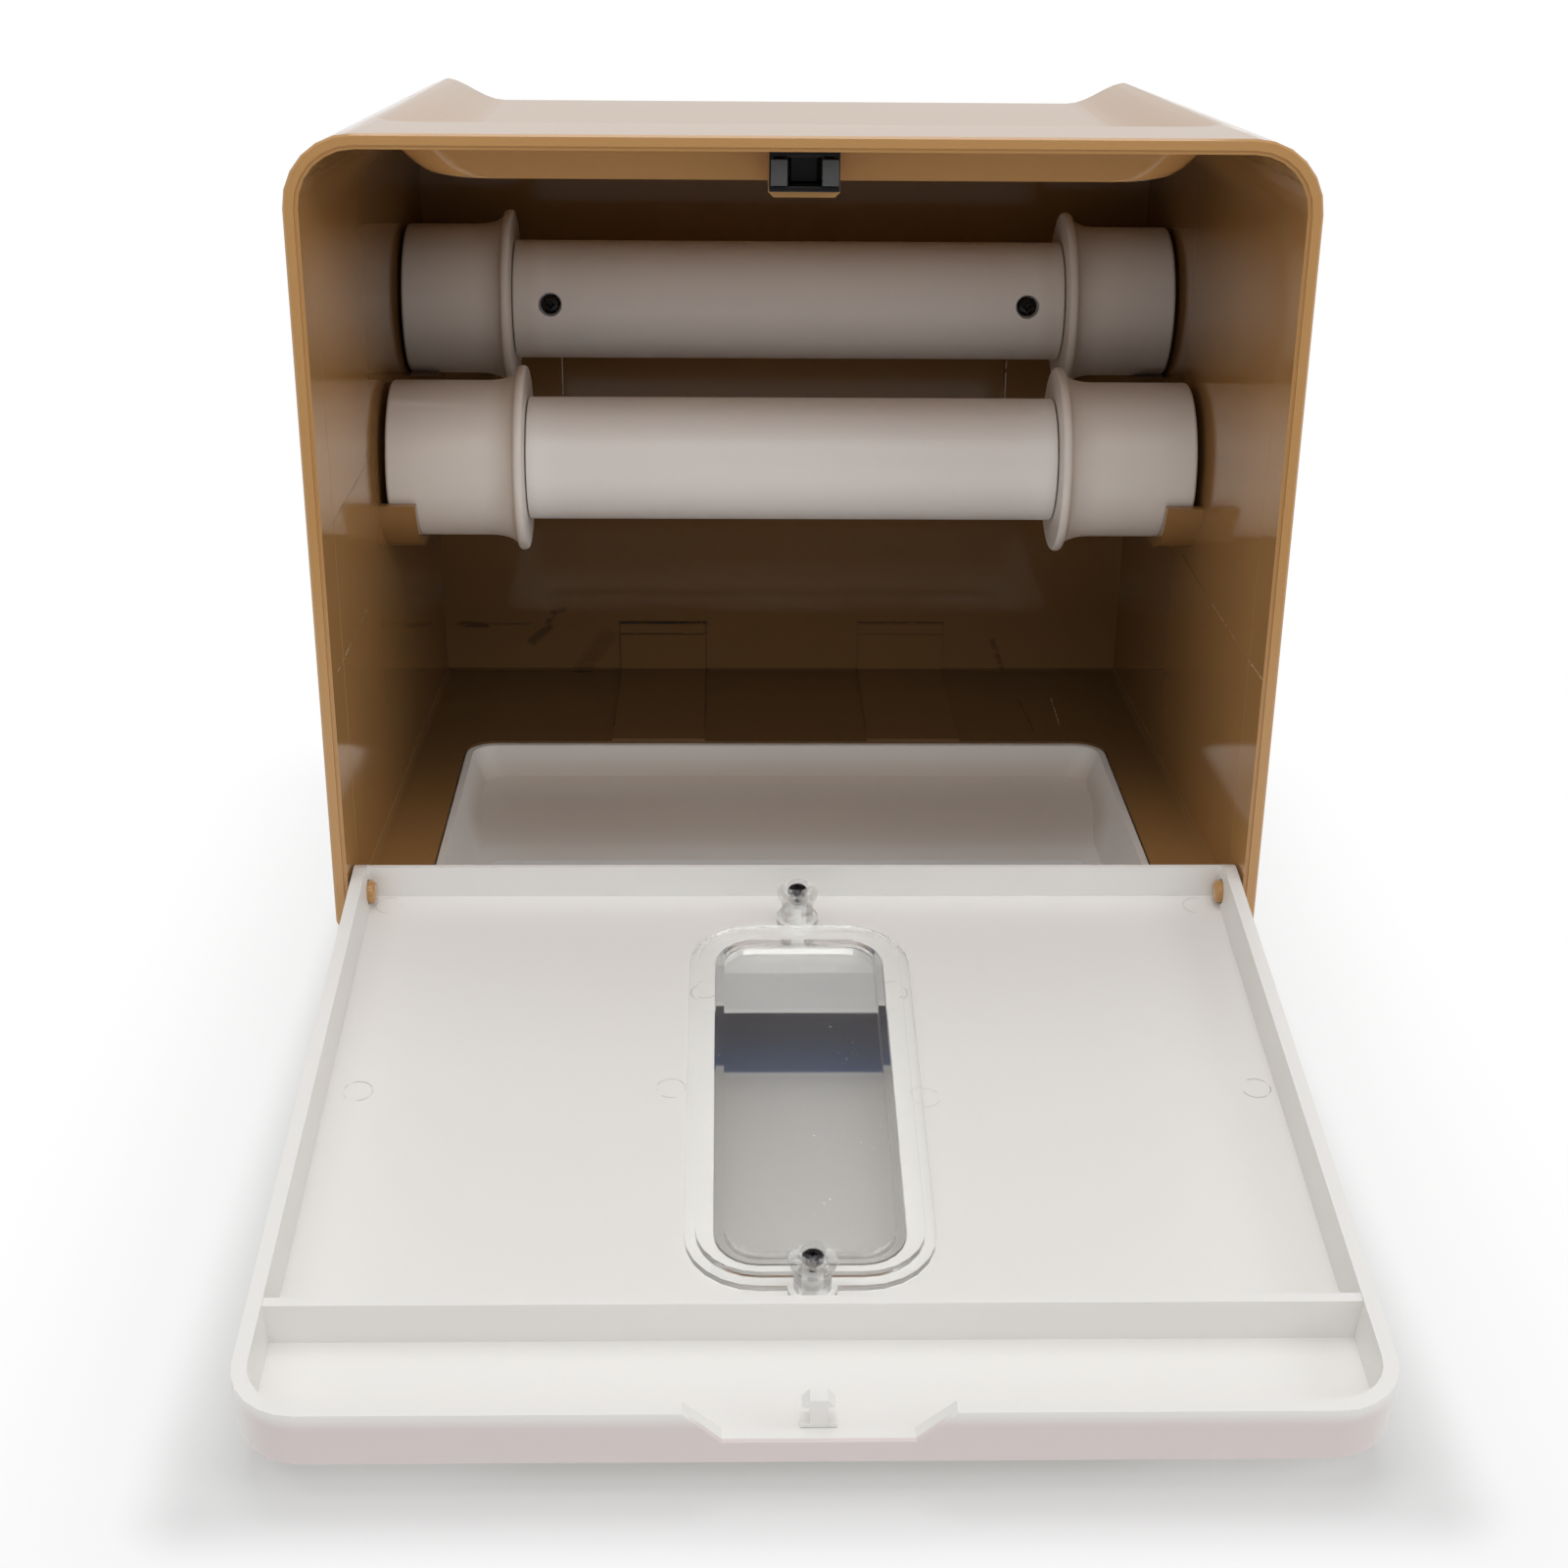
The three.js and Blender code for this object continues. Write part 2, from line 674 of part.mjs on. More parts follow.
function outletBase() {
  const top = baseTop;
  const underPlate = top - basePlate;
  const outside = loft([baseSection(top, 0), baseSection(baseBottom, baseDraft)], planView);
  const inside = loft([baseSection(underPlate, baseWall), baseSection(baseBottom - overrun, baseWall + baseDraft)], planView);
  const trayFloor = trayRim - trayFloorDepth;
  let base = cut(outside, inside, exitArch()).add(trayHollow(trayWall, trayRim));
  base = base.subtract(trayHollow(0, trayRim + overrun));
  base = base.add(extruded('z', slotOutline(slotBead), trayFloor - trayWall / 2, trayFloor + slotBeadRise));
  base = base.subtract(extruded('z', slotOutline(0), trayFloor - trayWall - overrun, trayFloor + slotBeadRise + overrun));
  base = base.subtract(block(-caseWidest, caseWidest, -overrun, floorFront - seatGap, top - baseFrontRelief, top + overrun));
  baseScrewPlaces.forEach(([, across, back]) => {
    const bore = bossDiameter / 2 + seatGap;
    const cupBottom = top - bossLength - cupFloor;
    const rod = (radius, low, high) => extruded('z', circle(across, back, radius, smallSegments), low, high);
    base = base.add(rod(bore + cupWall, cupBottom, underPlate + basePlate / 2));
    base = base.subtract(rod(bore, cupBottom + cupFloor, top + overrun));
    base = base.subtract(rod(baseScrewHole / 2, cupBottom - overrun, top));
  });
  return base;
}

// Pan-head screw, its head below the origin and its shank up along z
function screw(headRadius, headHeight, shankRadius, length) {
  const crown = headHeight / 3;
  return turned('z', [
    [0, -headHeight],
    [headRadius - crown, -headHeight],
    [headRadius, -headHeight + crown],
    [headRadius, 0],
    [shankRadius, 0],
    [shankRadius, length - shankRadius],
    [0, length],
  ], smallSegments);
}

// The door lies flat here: the pin axis is the origin, the free edge is at -Y, the inside is up
function doorHalf(reach) {
  return caseHalf(0, pinHeight + reach) - caseWall - doorClearance;
}

function doorPlan(height, inset, wallInset = inset) {
  const hinge = hingeRadius + overrun;
  const corners = [
    new THREE.Vector2(-doorHalf(doorReach) + inset, -doorReach + wallInset),
    new THREE.Vector2(doorHalf(doorReach) - inset, -doorReach + wallInset),
    new THREE.Vector2(doorHalf(-hinge) - inset, hinge),
    new THREE.Vector2(-doorHalf(-hinge) + inset, hinge),
  ];
  const round = doorCornerRadius - inset;
  return rounded(corners, [round, round, inset + overrun, inset + overrun]).map((p) => new THREE.Vector3(p.x, p.y, height));
}

function windowOutline(grow) {
  const corners = rectangle(-windowHoleHalf - grow, windowHoleHalf + grow, -windowHoleTo - grow, -windowHoleFrom + grow);
  return rounded(corners, windowHoleRadius + grow);
}

const windowPosts = [
  ['hinge', -postHingeReach],
  ['free', -doorReach + postFreeInset],
];

function strikeStud(panelTop) {
  const level = (fromFace) => fromFace - hingeRadius;
  const outline = [
    [strikeFootHalf, panelTop - doorPanel / 2],
    [strikeFootHalf, level(strikeNeckFrom)],
    [strikeNeckHalf, level(strikeNeckFrom)],
    [strikeNeckHalf, level(strikeHeadFrom)],
    [strikeHeadHalf, level(strikeHeadFrom)],
    [strikeNeckHalf, level(strikeTop)],
  ];
  const right = outline.map(([x, z]) => new THREE.Vector2(x, z));
  const left = outline.map(([x, z]) => new THREE.Vector2(-x, z)).reverse();
  const front = -strikeReach - strikeLength / 2;
  return extruded('y', [...right, ...left], front, front + strikeLength);
}

function doorShell() {
  const bottom = -hingeRadius;
  const top = hingeRadius;
  const panelTop = bottom + doorPanel;
  const end = [];
  for (let k = 0; k <= roundSegments / 2; k += 1) {
    const angle = -Math.PI / 2 + (2 * Math.PI * k) / roundSegments;
    end.push(new THREE.Vector2(hingeRadius * Math.cos(angle), hingeRadius * Math.sin(angle)));
  }
  const farEdge = -doorReach - overrun;
  const sideView = [new THREE.Vector2(farEdge, top), new THREE.Vector2(farEdge, bottom), ...end];
  const softened = [[1, 0], [0.29, 0.29], [0, 1]];
  const plan = loft([
    ...softened.map(([inset, up]) => doorPlan(bottom + doorFaceRadius * up, doorFaceRadius * inset)),
    doorPlan(top, 0),
  ], planView);
  let door = extruded('x', sideView, -caseWidest, caseWidest).intersect(plan);

  const pocketPlan = (height, draft) => doorPlan(height, doorSideWall + draft, doorFreeWall + draft);
  const pocket = loft([pocketPlan(panelTop, doorWallDraft), pocketPlan(top, 0), pocketPlan(top + overrun, 0)], planView);
  const ribFace = block(-caseWidest, caseWidest, farEdge, doorHingeRibFace, panelTop - overrun, top + overrun * 2);
  const rib = block(
    -caseWidest, caseWidest,
    -doorRibReach - doorRibThickness / 2, -doorRibReach + doorRibThickness / 2,
    panelTop - overrun, panelTop + doorRibHeight,
  );
  door = door.subtract(pocket.intersect(ribFace).subtract(rib));
  const betweenEars = doorHalf(0) - doorSideWall;
  door = door.subtract(block(-betweenEars, betweenEars, 0, hingeRadius + overrun, doorHingeRibTop, top + overrun));

  const notchBottom = notchFloor - hingeRadius;
  const slope = (notchTopHalf - notchBottomHalf) / (top - notchBottom);
  const notch = [
    new THREE.Vector2(-notchBottomHalf, notchBottom),
    new THREE.Vector2(notchBottomHalf, notchBottom),
    new THREE.Vector2(notchTopHalf + slope * overrun, top + overrun),
    new THREE.Vector2(-notchTopHalf - slope * overrun, top + overrun),
  ];
  door = door.subtract(extruded('y', notch, farEdge, -doorReach + doorFreeWall + overrun / 2));
  door = door.add(strikeStud(panelTop));

  door = door.subtract(extruded('z', windowOutline(0), bottom - overrun, panelTop + overrun));
  windowPosts.forEach(([, along]) => {
    door = door.add(extruded('z', circle(0, along, studDiameter / 2, smallSegments), panelTop - doorPanel / 2, panelTop + studHeight));
    const pilotFrom = panelTop - doorPanel / 2;
    door = door.subtract(extruded('z', circle(0, along, studPilot / 2, smallSegments), pilotFrom, panelTop + studHeight + overrun));
  });
  const pinBore = circle(0, 0, pinDiameter / 2 + seatGap);
  const boreFrom = betweenEars - doorWallDraft - seatGap;
  return cut(door, extruded('x', pinBore, boreFrom, caseWidest), extruded('x', pinBore, -caseWidest, -boreFrom));
}

function windowInsert() {
  const panelTop = -hingeRadius + doorPanel;
  const seat = panelTop + seatGap;
  const outerFace = -hingeRadius + windowPaneSet;
  const plugGrow = -seatGap;
  let insert = join(
    extruded('z', windowOutline(windowFlangeMargin), seat, seat + windowFlangeRise),
    extruded('z', windowOutline(windowFlangeMargin - windowRingInset), seat, seat + windowRingRise),
    extruded('z', windowOutline(plugGrow), outerFace, seat + windowFlangeRise),
  );
  const well = extruded('z', windowOutline(plugGrow - windowPlugWall), outerFace + windowPane, seat + windowRingRise + overrun);
  insert = insert.subtract(well);
  windowPosts.forEach(([, along]) => {
    const foot = extruded('z', circle(0, along, postFootDiameter / 2, postSegments), seat, seat + windowFlangeRise);
    insert = insert.add(foot).add(windowPost(seat).translate([0, along, 0]));
    const room = studDiameter / 2 + seatGap;
    const roomTop = panelTop + studHeight + seatGap;
    insert = insert.subtract(extruded('z', circle(0, along, room, smallSegments), seat - overrun, roomTop));
  });
  return insert;
}

// Hollow post with a bulb head, seat for a screw head and a hole for its shank
function windowPost(seat) {
  const top = seat + postHeight;
  const bulbFrom = top - postBulbLength;
  const seatLevel = top - postSeat;
  const middle = bulbFrom + postBulbLength / 2;
  return turned('z', [
    [postHole / 2, seat],
    [postDiameter / 2, seat],
    [postDiameter / 2, bulbFrom],
    [postBulb / 2 - (postBulb - postDiameter) / 8, (bulbFrom + middle) / 2],
    [postBulb / 2, middle],
    [postBulb / 2 - (postBulb - postBore) / 6, (middle + top) / 2],
    [postBore / 2 + windowPaneSet, top],
    [postBore / 2, top],
    [postBore / 2, seatLevel],
    [postHole / 2, seatLevel],
    [postHole / 2, seat],
  ], postSegments);
}

function catchHousing() {
  const back = catchBack;
  const bezel = block(
    -catchBezelHalf, catchBezelHalf, catchFront, catchFront + catchBezelLength, -catchBezelBottom, -catchBezelTop,
  );
  const body = block(-catchBodyHalf, catchBodyHalf, catchFront, back, -catchBodyBottom, -catchBodyTop);
  const cavityHalf = catchBodyHalf - catchWall;
  const cavityBottom = -catchBodyBottom + catchWall;
  const cavity = block(-cavityHalf, cavityHalf, catchFront - overrun, back - catchWall, cavityBottom, -catchCavityTop);
  const mouth = block(
    -catchMouthHalf, catchMouthHalf, catchFront - overrun, catchFront + catchBezelLength, cavityBottom, -catchCavityTop,
  );
  return bezel.add(body).subtract(cavity).subtract(mouth);
}

// Shared heights of the catch's moving pieces inside the cavity
const catchCavityBottom = -catchBodyBottom + catchWall;
const jawLow = catchCavityBottom + seatGap;
const jawHigh = -catchCavityTop - seatGap;
const jawPivotBack = catchFront - jawTipLead + jawPivotReach;

// Right-hand jaw: a broad head before the bezel, a hook inside it and a round pivot end
function catchJaw() {
  const tip = catchFront - jawTipLead;
  const outline = [
    new THREE.Vector2(jawHookHalf, tip),
    new THREE.Vector2(jawTipHalf, tip),
    new THREE.Vector2(jawHeadHalf, catchFront - seatGap),
    new THREE.Vector2(jawOuterHalf, catchFront - seatGap),
    new THREE.Vector2(jawOuterHalf, jawPivotBack),
    new THREE.Vector2(jawInnerHalf, jawPivotBack),
    new THREE.Vector2(jawInnerHalf, tip + jawHookLength),
    new THREE.Vector2(jawHookHalf, tip + jawHookLength),
  ];
  const arm = extruded('z', outline, jawLow, jawHigh);
  return arm.add(extruded('z', circle(jawPivotHalf, jawPivotBack, jawPivotRadius, smallSegments), jawLow, jawHigh));
}

function catchPlunger() {
  const flangeFront = jawPivotBack + jawPivotRadius + seatGap;
  const half = catchBodyHalf - catchWall - seatGap;
  const nose = block(-plungerNoseHalf, plungerNoseHalf, plungerNose, flangeFront + plungerFlange, jawLow, jawHigh);
  return nose.add(block(-half, half, flangeFront, flangeFront + plungerFlange, jawLow, jawHigh));
}

// One unbroken wire wound from the plunger flange to the housing back
function catchSpring() {
  const from = jawPivotBack + jawPivotRadius + seatGap * 2 + plungerFlange + springWire / 2;
  const to = catchBack - catchWall - seatGap - springWire / 2;
  const radius = (springDiameter - springWire) / 2;
  const centre = (jawLow + jawHigh) / 2;
  const stepsPerTurn = 8;
  const sidesOfWire = 5;
  const rings = [];
  for (let k = 0; k <= springTurns * stepsPerTurn; k += 1) {
    const share = k / (springTurns * stepsPerTurn);
    const angle = 2 * Math.PI * springTurns * share;
    const outward = new THREE.Vector3(Math.cos(angle), 0, Math.sin(angle));
    const middle = outward.clone().multiplyScalar(radius);
    middle.y = THREE.MathUtils.lerp(from, to, share);
    middle.z += centre;
    const ring = [];
    for (let side = 0; side < sidesOfWire; side += 1) {
      const around = (2 * Math.PI * side) / sidesOfWire;
      const offset = outward.clone().multiplyScalar(Math.cos(around)).addScaledVector(axisY, Math.sin(around));
      ring.push(offset.multiplyScalar(springWire / 2).add(middle));
    }
    rings.push(ring);
  }
  const turnGap = (to - from) / springTurns - springWire;
  console.log(`least gap between spring turns ${turnGap.toFixed(2)} mm`);
  return loft(rings, (p) => new THREE.Vector2(Math.hypot(p.x, p.z - centre), p.y));
}

// Cap of a spindle, drawn for the right-hand end about the x axis
function spindleCap(flangeHalf) {
  const end = spindleEnd;
  const hub = hubDiameter / 2;
  const flange = flangeDiameter / 2;
  const rimTop = flangeHalf + flangeThickness;
  const coveEnd = rimTop + flangeCove;
  const sleeve = tubeDiameter / 2 - tubeWall - seatGap;
  const bore = sleeve - sleeveWall;
  const cove = [];
  const coveSteps = 4;
  for (let k = 1; k < coveSteps; k += 1) {
    const angle = (Math.PI / 2) * (k / coveSteps);
    const radius = hub + (flange - hub) * (1 - Math.sin(angle));
    cove.push([radius, rimTop + flangeCove * (1 - Math.cos(angle))]);
  }
  return turned('x', [
    [0, end - hubWall],
    [hub - hubWall, end - hubWall],
    [hub - hubWall, coveEnd],
    [bore, rimTop],
    [bore, flangeHalf - sleeveLength],
    [sleeve, flangeHalf - sleeveLength],
    [sleeve, flangeHalf],
    [flange - hubEdge / 2, flangeHalf],
    [flange, flangeHalf + hubEdge / 2],
    [flange, rimTop],
    ...cove,
    [hub, coveEnd],
    [hub, end - hubEdge],
    [hub - hubEdge, end],
    [0, end],
  ]);
}

function spindle(label, back, drop, flangeHalf, screwDegrees, parent) {
  const carrier = new THREE.Group();
  carrier.position.set(0, back, -drop);
  carrier.rotation.x = THREE.MathUtils.degToRad(screwDegrees);
  parent.add(carrier);
  const half = flangeHalf - seatGap;
  const outer = tubeDiameter / 2;
  const screwAcross = flangeHalf - tubeScrewInset;
  let tube = extruded('x', circle(0, 0, outer), -half, half);
  tube = tube.subtract(extruded('x', circle(0, 0, outer - tubeWall), -half - overrun, half + overrun));
  sides.forEach(([side, sign]) => {
    const hole = (radius, from, to) => extruded('y', circle(sign * screwAcross, 0, radius, smallSegments), from, to);
    tube = tube.subtract(hole(tubeScrewHole / 2, 0, outer + overrun));
    const cap = sign > 0 ? spindleCap(flangeHalf) : mirroredX(spindleCap(flangeHalf));
    const sleeve = outer - tubeWall - seatGap;
    piece(`${label}_cap_${side}`, cap.subtract(hole(tubeScrewPilot / 2, 0, outer)), finishes.spindle, carrier);
    const fastener = screw(tubeScrewHead / 2, tubeScrewHeadHeight, tubeScrewShank / 2, tubeScrewLength);
    const turnedIn = fastener.rotate([90, 0, 0]).translate([sign * screwAcross, sleeve + seatGap, 0]);
    piece(`${label}_screw_${side}`, turnedIn, finishes.steel, carrier);
  });
  piece(`${label}_tube`, tube, finishes.spindle, carrier);
}

// The origin is under the middle of the product, on the surface it stands on
const dispenser = new THREE.Group();
const product = new THREE.Group();
product.position.set(0, (doorFrontReach - caseDepth) / 2, -baseBottom);
dispenser.add(product);

piece('case_shell', caseShell(), finishes.tan, product);
piece('outlet_base', outletBase(), finishes.white, product);
baseScrewPlaces.forEach(([place, across, back]) => {
  const fastener = screw(baseScrewHead / 2, baseScrewHeadHeight, baseScrewShank / 2, baseScrewLength);
  const headTop = baseTop - bossLength - cupFloor - seatGap;
  piece(`base_screw_${place}`, fastener.translate([across, back, headTop]), finishes.steel, product);
});

const door = new THREE.Group();
door.position.set(0, hingeRadius, pinHeight);
door.rotation.x = openSlope;
product.add(door);
piece('door_panel', doorShell(), finishes.white, door);
piece('window', windowInsert(), finishes.clear, door);
windowPosts.forEach(([place, along]) => {
  const fastener = screw(windowScrewHead / 2, windowScrewHeadHeight, windowScrewShank / 2, windowScrewLength);
  const seatLevel = -hingeRadius + doorPanel + seatGap + postHeight - postSeat + seatGap;
  piece(`window_screw_${place}`, fastener.rotate([180, 0, 0]).translate([0, along, seatLevel]), finishes.steel, door);
});

piece('catch_housing', catchHousing(), finishes.black, product);
piece('catch_plunger', catchPlunger(), finishes.black, product);
piece('catch_jaw_right', catchJaw(), finishes.grey, product);
piece('catch_jaw_left', mirroredX(catchJaw()), finishes.grey, product);
piece('catch_spring', catchSpring(), finishes.steel, product);

spindle('upper', upperAxisBack, upperAxisDrop, upperFlangeHalf, upperScrewDegrees, product);
spindle('lower', lowerAxisBack, lowerAxisDrop, lowerFlangeHalf, lowerScrewDegrees, product);

export default dispenser;
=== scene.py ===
"""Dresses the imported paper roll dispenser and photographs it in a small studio."""
import logging
import math
from dataclasses import dataclass
from enum import Enum
from typing import Any, Callable, Mapping, Sequence

import bmesh
import bpy
from mathutils import Matrix, Vector


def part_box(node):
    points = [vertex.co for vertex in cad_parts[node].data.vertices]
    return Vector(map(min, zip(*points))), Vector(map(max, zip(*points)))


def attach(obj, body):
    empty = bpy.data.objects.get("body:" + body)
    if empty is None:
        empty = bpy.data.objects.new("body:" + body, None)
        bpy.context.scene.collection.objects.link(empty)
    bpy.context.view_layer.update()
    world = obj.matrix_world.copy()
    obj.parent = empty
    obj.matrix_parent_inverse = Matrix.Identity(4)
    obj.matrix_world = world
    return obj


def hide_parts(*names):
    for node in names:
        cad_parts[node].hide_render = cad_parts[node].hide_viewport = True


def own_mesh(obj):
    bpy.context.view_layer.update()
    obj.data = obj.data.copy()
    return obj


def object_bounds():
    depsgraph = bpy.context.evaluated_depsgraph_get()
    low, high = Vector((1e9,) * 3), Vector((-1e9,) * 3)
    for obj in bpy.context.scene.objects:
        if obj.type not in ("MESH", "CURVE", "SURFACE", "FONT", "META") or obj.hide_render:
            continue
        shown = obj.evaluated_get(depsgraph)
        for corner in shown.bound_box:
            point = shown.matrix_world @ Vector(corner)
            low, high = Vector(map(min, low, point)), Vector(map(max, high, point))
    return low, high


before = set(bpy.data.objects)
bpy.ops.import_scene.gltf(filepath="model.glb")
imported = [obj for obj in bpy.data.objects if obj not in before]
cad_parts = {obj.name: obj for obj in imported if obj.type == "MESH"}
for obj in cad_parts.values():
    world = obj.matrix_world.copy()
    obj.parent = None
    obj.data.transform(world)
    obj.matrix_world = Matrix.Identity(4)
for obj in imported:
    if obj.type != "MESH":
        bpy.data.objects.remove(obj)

LOG = logging.getLogger("dispenser")
MM = 0.001
Colour = tuple[float, float, float]
Place = tuple[float, float, float]
Span = tuple[float, float]
CAD_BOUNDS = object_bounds()
LINE_CORE_SHARE = 0.3
SMOOTH_BELOW_DEGREES = 32.0
FLAT_BELOW_DEGREES = 0.3
FLAT_FACE_WEIGHT = 50
SAME_PLACE, SAME_RADIUS, WELD = 1e-7, 1e-6, 2e-6


class Body(str, Enum):
    """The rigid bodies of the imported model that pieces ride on."""

    CASE = "case"
    DOOR = "door"
    UPPER_SPINDLE = "upper_spindle"
    LOWER_SPINDLE = "lower_spindle"
    PLUNGER = "catch_plunger"
    JAW_LEFT = "catch_jaw_left"
    JAW_RIGHT = "catch_jaw_right"


class Slot(str, Enum):
    """The record's material slots."""

    CASE = "case_plastic"
    WHITE = "white_plastic"
    WINDOW = "window_clear"
    SPINDLE = "spindle_plastic"
    CATCH = "catch_plastic"
    JAW = "jaw_plastic"
    SPRING = "spring_steel"
    SCREW = "screw_steel"


# Places on the case and the door
@dataclass(frozen=True)
class CaseDatum:
    """Where the case's rim plane and top edge lie in the row frame."""

    front: float
    top: float

    @classmethod
    def measured(cls) -> "CaseDatum":
        """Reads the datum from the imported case."""
        low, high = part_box("case_shell")
        return cls(front=low.y, top=high.z)

    def point(self, across: float, back: float, height: float) -> Vector:
        """Turns case millimetres into a place in the row frame.

        Args:
            across: Millimetres to the right of the middle.
            back: Millimetres behind the rim plane.
            height: Millimetres above the case's top edge, negative below it.

        Returns:
            The point in metres.
        """
        return Vector((across * MM, self.front + back * MM, self.top + height * MM))

    def read(self, paint: "Paint") -> tuple["Signal", "Signal", "Signal"]:
        """Gives where a surface point lies on the case, in millimetres.

        Args:
            paint: The material that asks.

        Returns:
            Its distance from the middle, its back and its height, as for point.
        """
        across = paint.axis("X").size() / MM
        back = (paint.axis("Y") - self.front) / MM
        return across, back, (paint.axis("Z") - self.top) / MM


DATUM = CaseDatum.measured()


@dataclass(frozen=True)
class CavityPaintedShade:
    """The roll space: painted shade darkens its inner faces, deeper towards the back and on its floor."""

    half_width: float = 108.35
    narrowing_back: float = 0.025
    narrowing_down: float = 0.0115
    ceiling: float = -16.0
    ceiling_fade: Span = (-0.5, 6.0)
    floor: float = -178.7
    under_floor: Span = (-1.0, -0.4)
    floor_skin: Span = (1.2, 0.6)
    floor_shade: float = 0.22
    back: float = 178.4
    back_fade: Span = (12.0, 130.0)
    edge_fade: Span = (-0.5, 0.5)
    depth_of_shade: float = 0.5
    colour: Colour = (0.0, 0.0, 0.0)

    def mask(self, paint: "Paint") -> "Signal":
        """Gives how much painted shade darkens the plastic, 0 outside the roll space.

        Args:
            paint: The material that the mask is made for.

        Returns:
            The mask, 0 to 1.
        """
        across, back, height = DATUM.read(paint)
        wall = self.half_width - back * self.narrowing_back + height * self.narrowing_down
        within = (wall - across).step(*self.edge_fade) * (self.back - back).step(*self.edge_fade)
        within = within * (height - self.floor).step(*self.under_floor)
        within = within * (self.ceiling - height).step(*self.ceiling_fade)
        on_floor = (height - self.floor).step(*self.floor_skin) * self.floor_shade
        return within * (back.step(*self.back_fade) * self.depth_of_shade + on_floor)


@dataclass(frozen=True)
class TrayPaintedShade:
    """The tray under the roll space: its far half gets painted shade, warmed as by painted light bounced off
    the tan walls over it.
    """

    rim: float = -179.2
    depth: float = 15.0
    half_width: float = 96.0
    side_fade: Span = (0.0, 1.0)
    bottom_fade: Span = (0.0, 0.5)
    depth_fade: Span = (1.0, 9.5)
    back_fade: Span = (68.0, 88.0)
    colour: Colour = (0.74, 0.67, 0.61)

    def mask(self, paint: "Paint") -> "Signal":
        """Gives how much painted shade the tray's inside gets.

        Args:
            paint: The material that the mask is made for.

        Returns:
            The mask, 0 to 1.
        """
        across, back, height = DATUM.read(paint)
        down = self.rim - height
        inside = (self.half_width - across).step(*self.side_fade)
        inside = inside * (self.depth - down).step(*self.bottom_fade)
        return down.step(*self.depth_fade) * back.step(*self.back_fade) * inside


@dataclass(frozen=True)
class SpindleMiddlePaintedLight:
    """The part of each spindle between its flanges, painted paler as painted light, which leaves the ends by
    the flanges looking shaded.
    """

    half_width: float = 67.0
    fade: Span = (-3.0, 3.0)
    colour: Colour = (0.97, 0.94, 0.915)

    def mask(self, paint: "Paint") -> "Signal":
        """Gives how much painted light makes the plastic paler."""
        return (self.half_width - paint.axis("X").size() / MM).step(*self.fade)


@dataclass(frozen=True)
class DoorDatum:
    """Where the opened door lies, counted from its hinge axis in millimetres."""

    axis_back: float = 6.45
    axis_height: float = -175.2
    slope_degrees: float = 10.6
    half_thickness: float = 6.45
    panel: float = 3.0

    def point(self, across: float, reach: float, lift: float) -> Vector:
        """Turns a place on the door into one in the row frame.

        Args:
            across: Millimetres to the right of the middle.
            reach: Millimetres from the hinge axis towards the free edge.
            lift: Millimetres above the door's outer face.

        Returns:
            The point in metres.
        """
        slope = math.radians(self.slope_degrees)
        rise = lift - self.half_thickness
        back = self.axis_back - reach * math.cos(slope) - rise * math.sin(slope)
        height = self.axis_height - reach * math.sin(slope) + rise * math.cos(slope)
        return DATUM.point(across, back, height)

    def read(self, paint: "Paint") -> tuple["Signal", "Signal", "Signal"]:
        """Gives where a surface point lies on the door, in millimetres.

        Args:
            paint: The material that asks.

        Returns:
            Its distance from the middle, its reach and its lift, as for point.
        """
        slope = math.radians(self.slope_degrees)
        across, back, height = DATUM.read(paint)
        ahead = self.axis_back - back
        rise = height - self.axis_height
        reach = ahead * math.cos(slope) - rise * math.sin(slope)
        return across, reach, ahead * math.sin(slope) + rise * math.cos(slope) + self.half_thickness

    def upright(self) -> Vector:
        """Gives the direction out of the door's inner face."""
        slope = math.radians(self.slope_degrees)
        return Vector((0.0, -math.sin(slope), math.cos(slope)))


DOOR = DoorDatum()


@dataclass(frozen=True)
class DoorEndPaintedShade:
    """The skin of the door's free end and of its corners, darkened with painted shade, in millimetres."""

    free_end: float = 171.1
    half_width: float = 106.35
    corner: float = 13.0
    skin: Span = (1.2, 0.7)
    corner_fade: Span = (0.4, 0.97)
    edge_fade: Span = (0.2, 4.0)
    colour: Colour = (0.77, 0.685, 0.675)

    def mask(self, paint: "Paint") -> "Signal":
        """Gives how much painted shade the skin gets.

        Args:
            paint: The material that the mask is made for.

        Returns:
            The mask, 0 to 1.
        """
        across, reach, lift = DOOR.read(paint)
        along = (reach - (self.free_end - self.corner)).maximum(0.0)
        aside = (across - (self.half_width - self.corner)).maximum(0.0)
        outward = (along * along + aside * aside) ** 0.5
        outer, inner = self.skin
        skin = outward.step(self.corner - outer, self.corner - inner)
        below_edge = (2 * DOOR.half_thickness - lift).step(*self.edge_fade)
        return skin * (along / self.corner).step(*self.corner_fade) * below_edge


@dataclass(frozen=True)
class PaintedGlowEdge:
    """The cut edge under the window's hinge end, given a painted glow (emission) so that it looks brightly
    lit.
    """

    reach: float = 17.0
    half_width: float = 19.2
    reach_fade: Span = (0.6, 0.3)
    lift_inset: Span = (0.2, 0.5)
    side_fade: Span = (0.5, 0.0)
    dark: Colour = (0.0, 0.0, 0.0)
    glow: Colour = (1.0, 0.97, 0.92)
    strength: float = 0.4

    def feed(self, paint: "Paint") -> None:
        """Paints the glow on the edge.

        Args:
            paint: The material that gets the glow.
        """
        across, reach, lift = DOOR.read(paint)
        top, bottom = (DOOR.panel - inset for inset in self.lift_inset)
        near = (reach - self.reach).size().step(*self.reach_fade)
        mask = near * lift.step(top, bottom) * (across - self.half_width).step(*self.side_fade)
        paint.feed("Emission Color", paint.mix(mask, self.dark, self.glow))
        paint.feed("Emission Strength", self.strength)


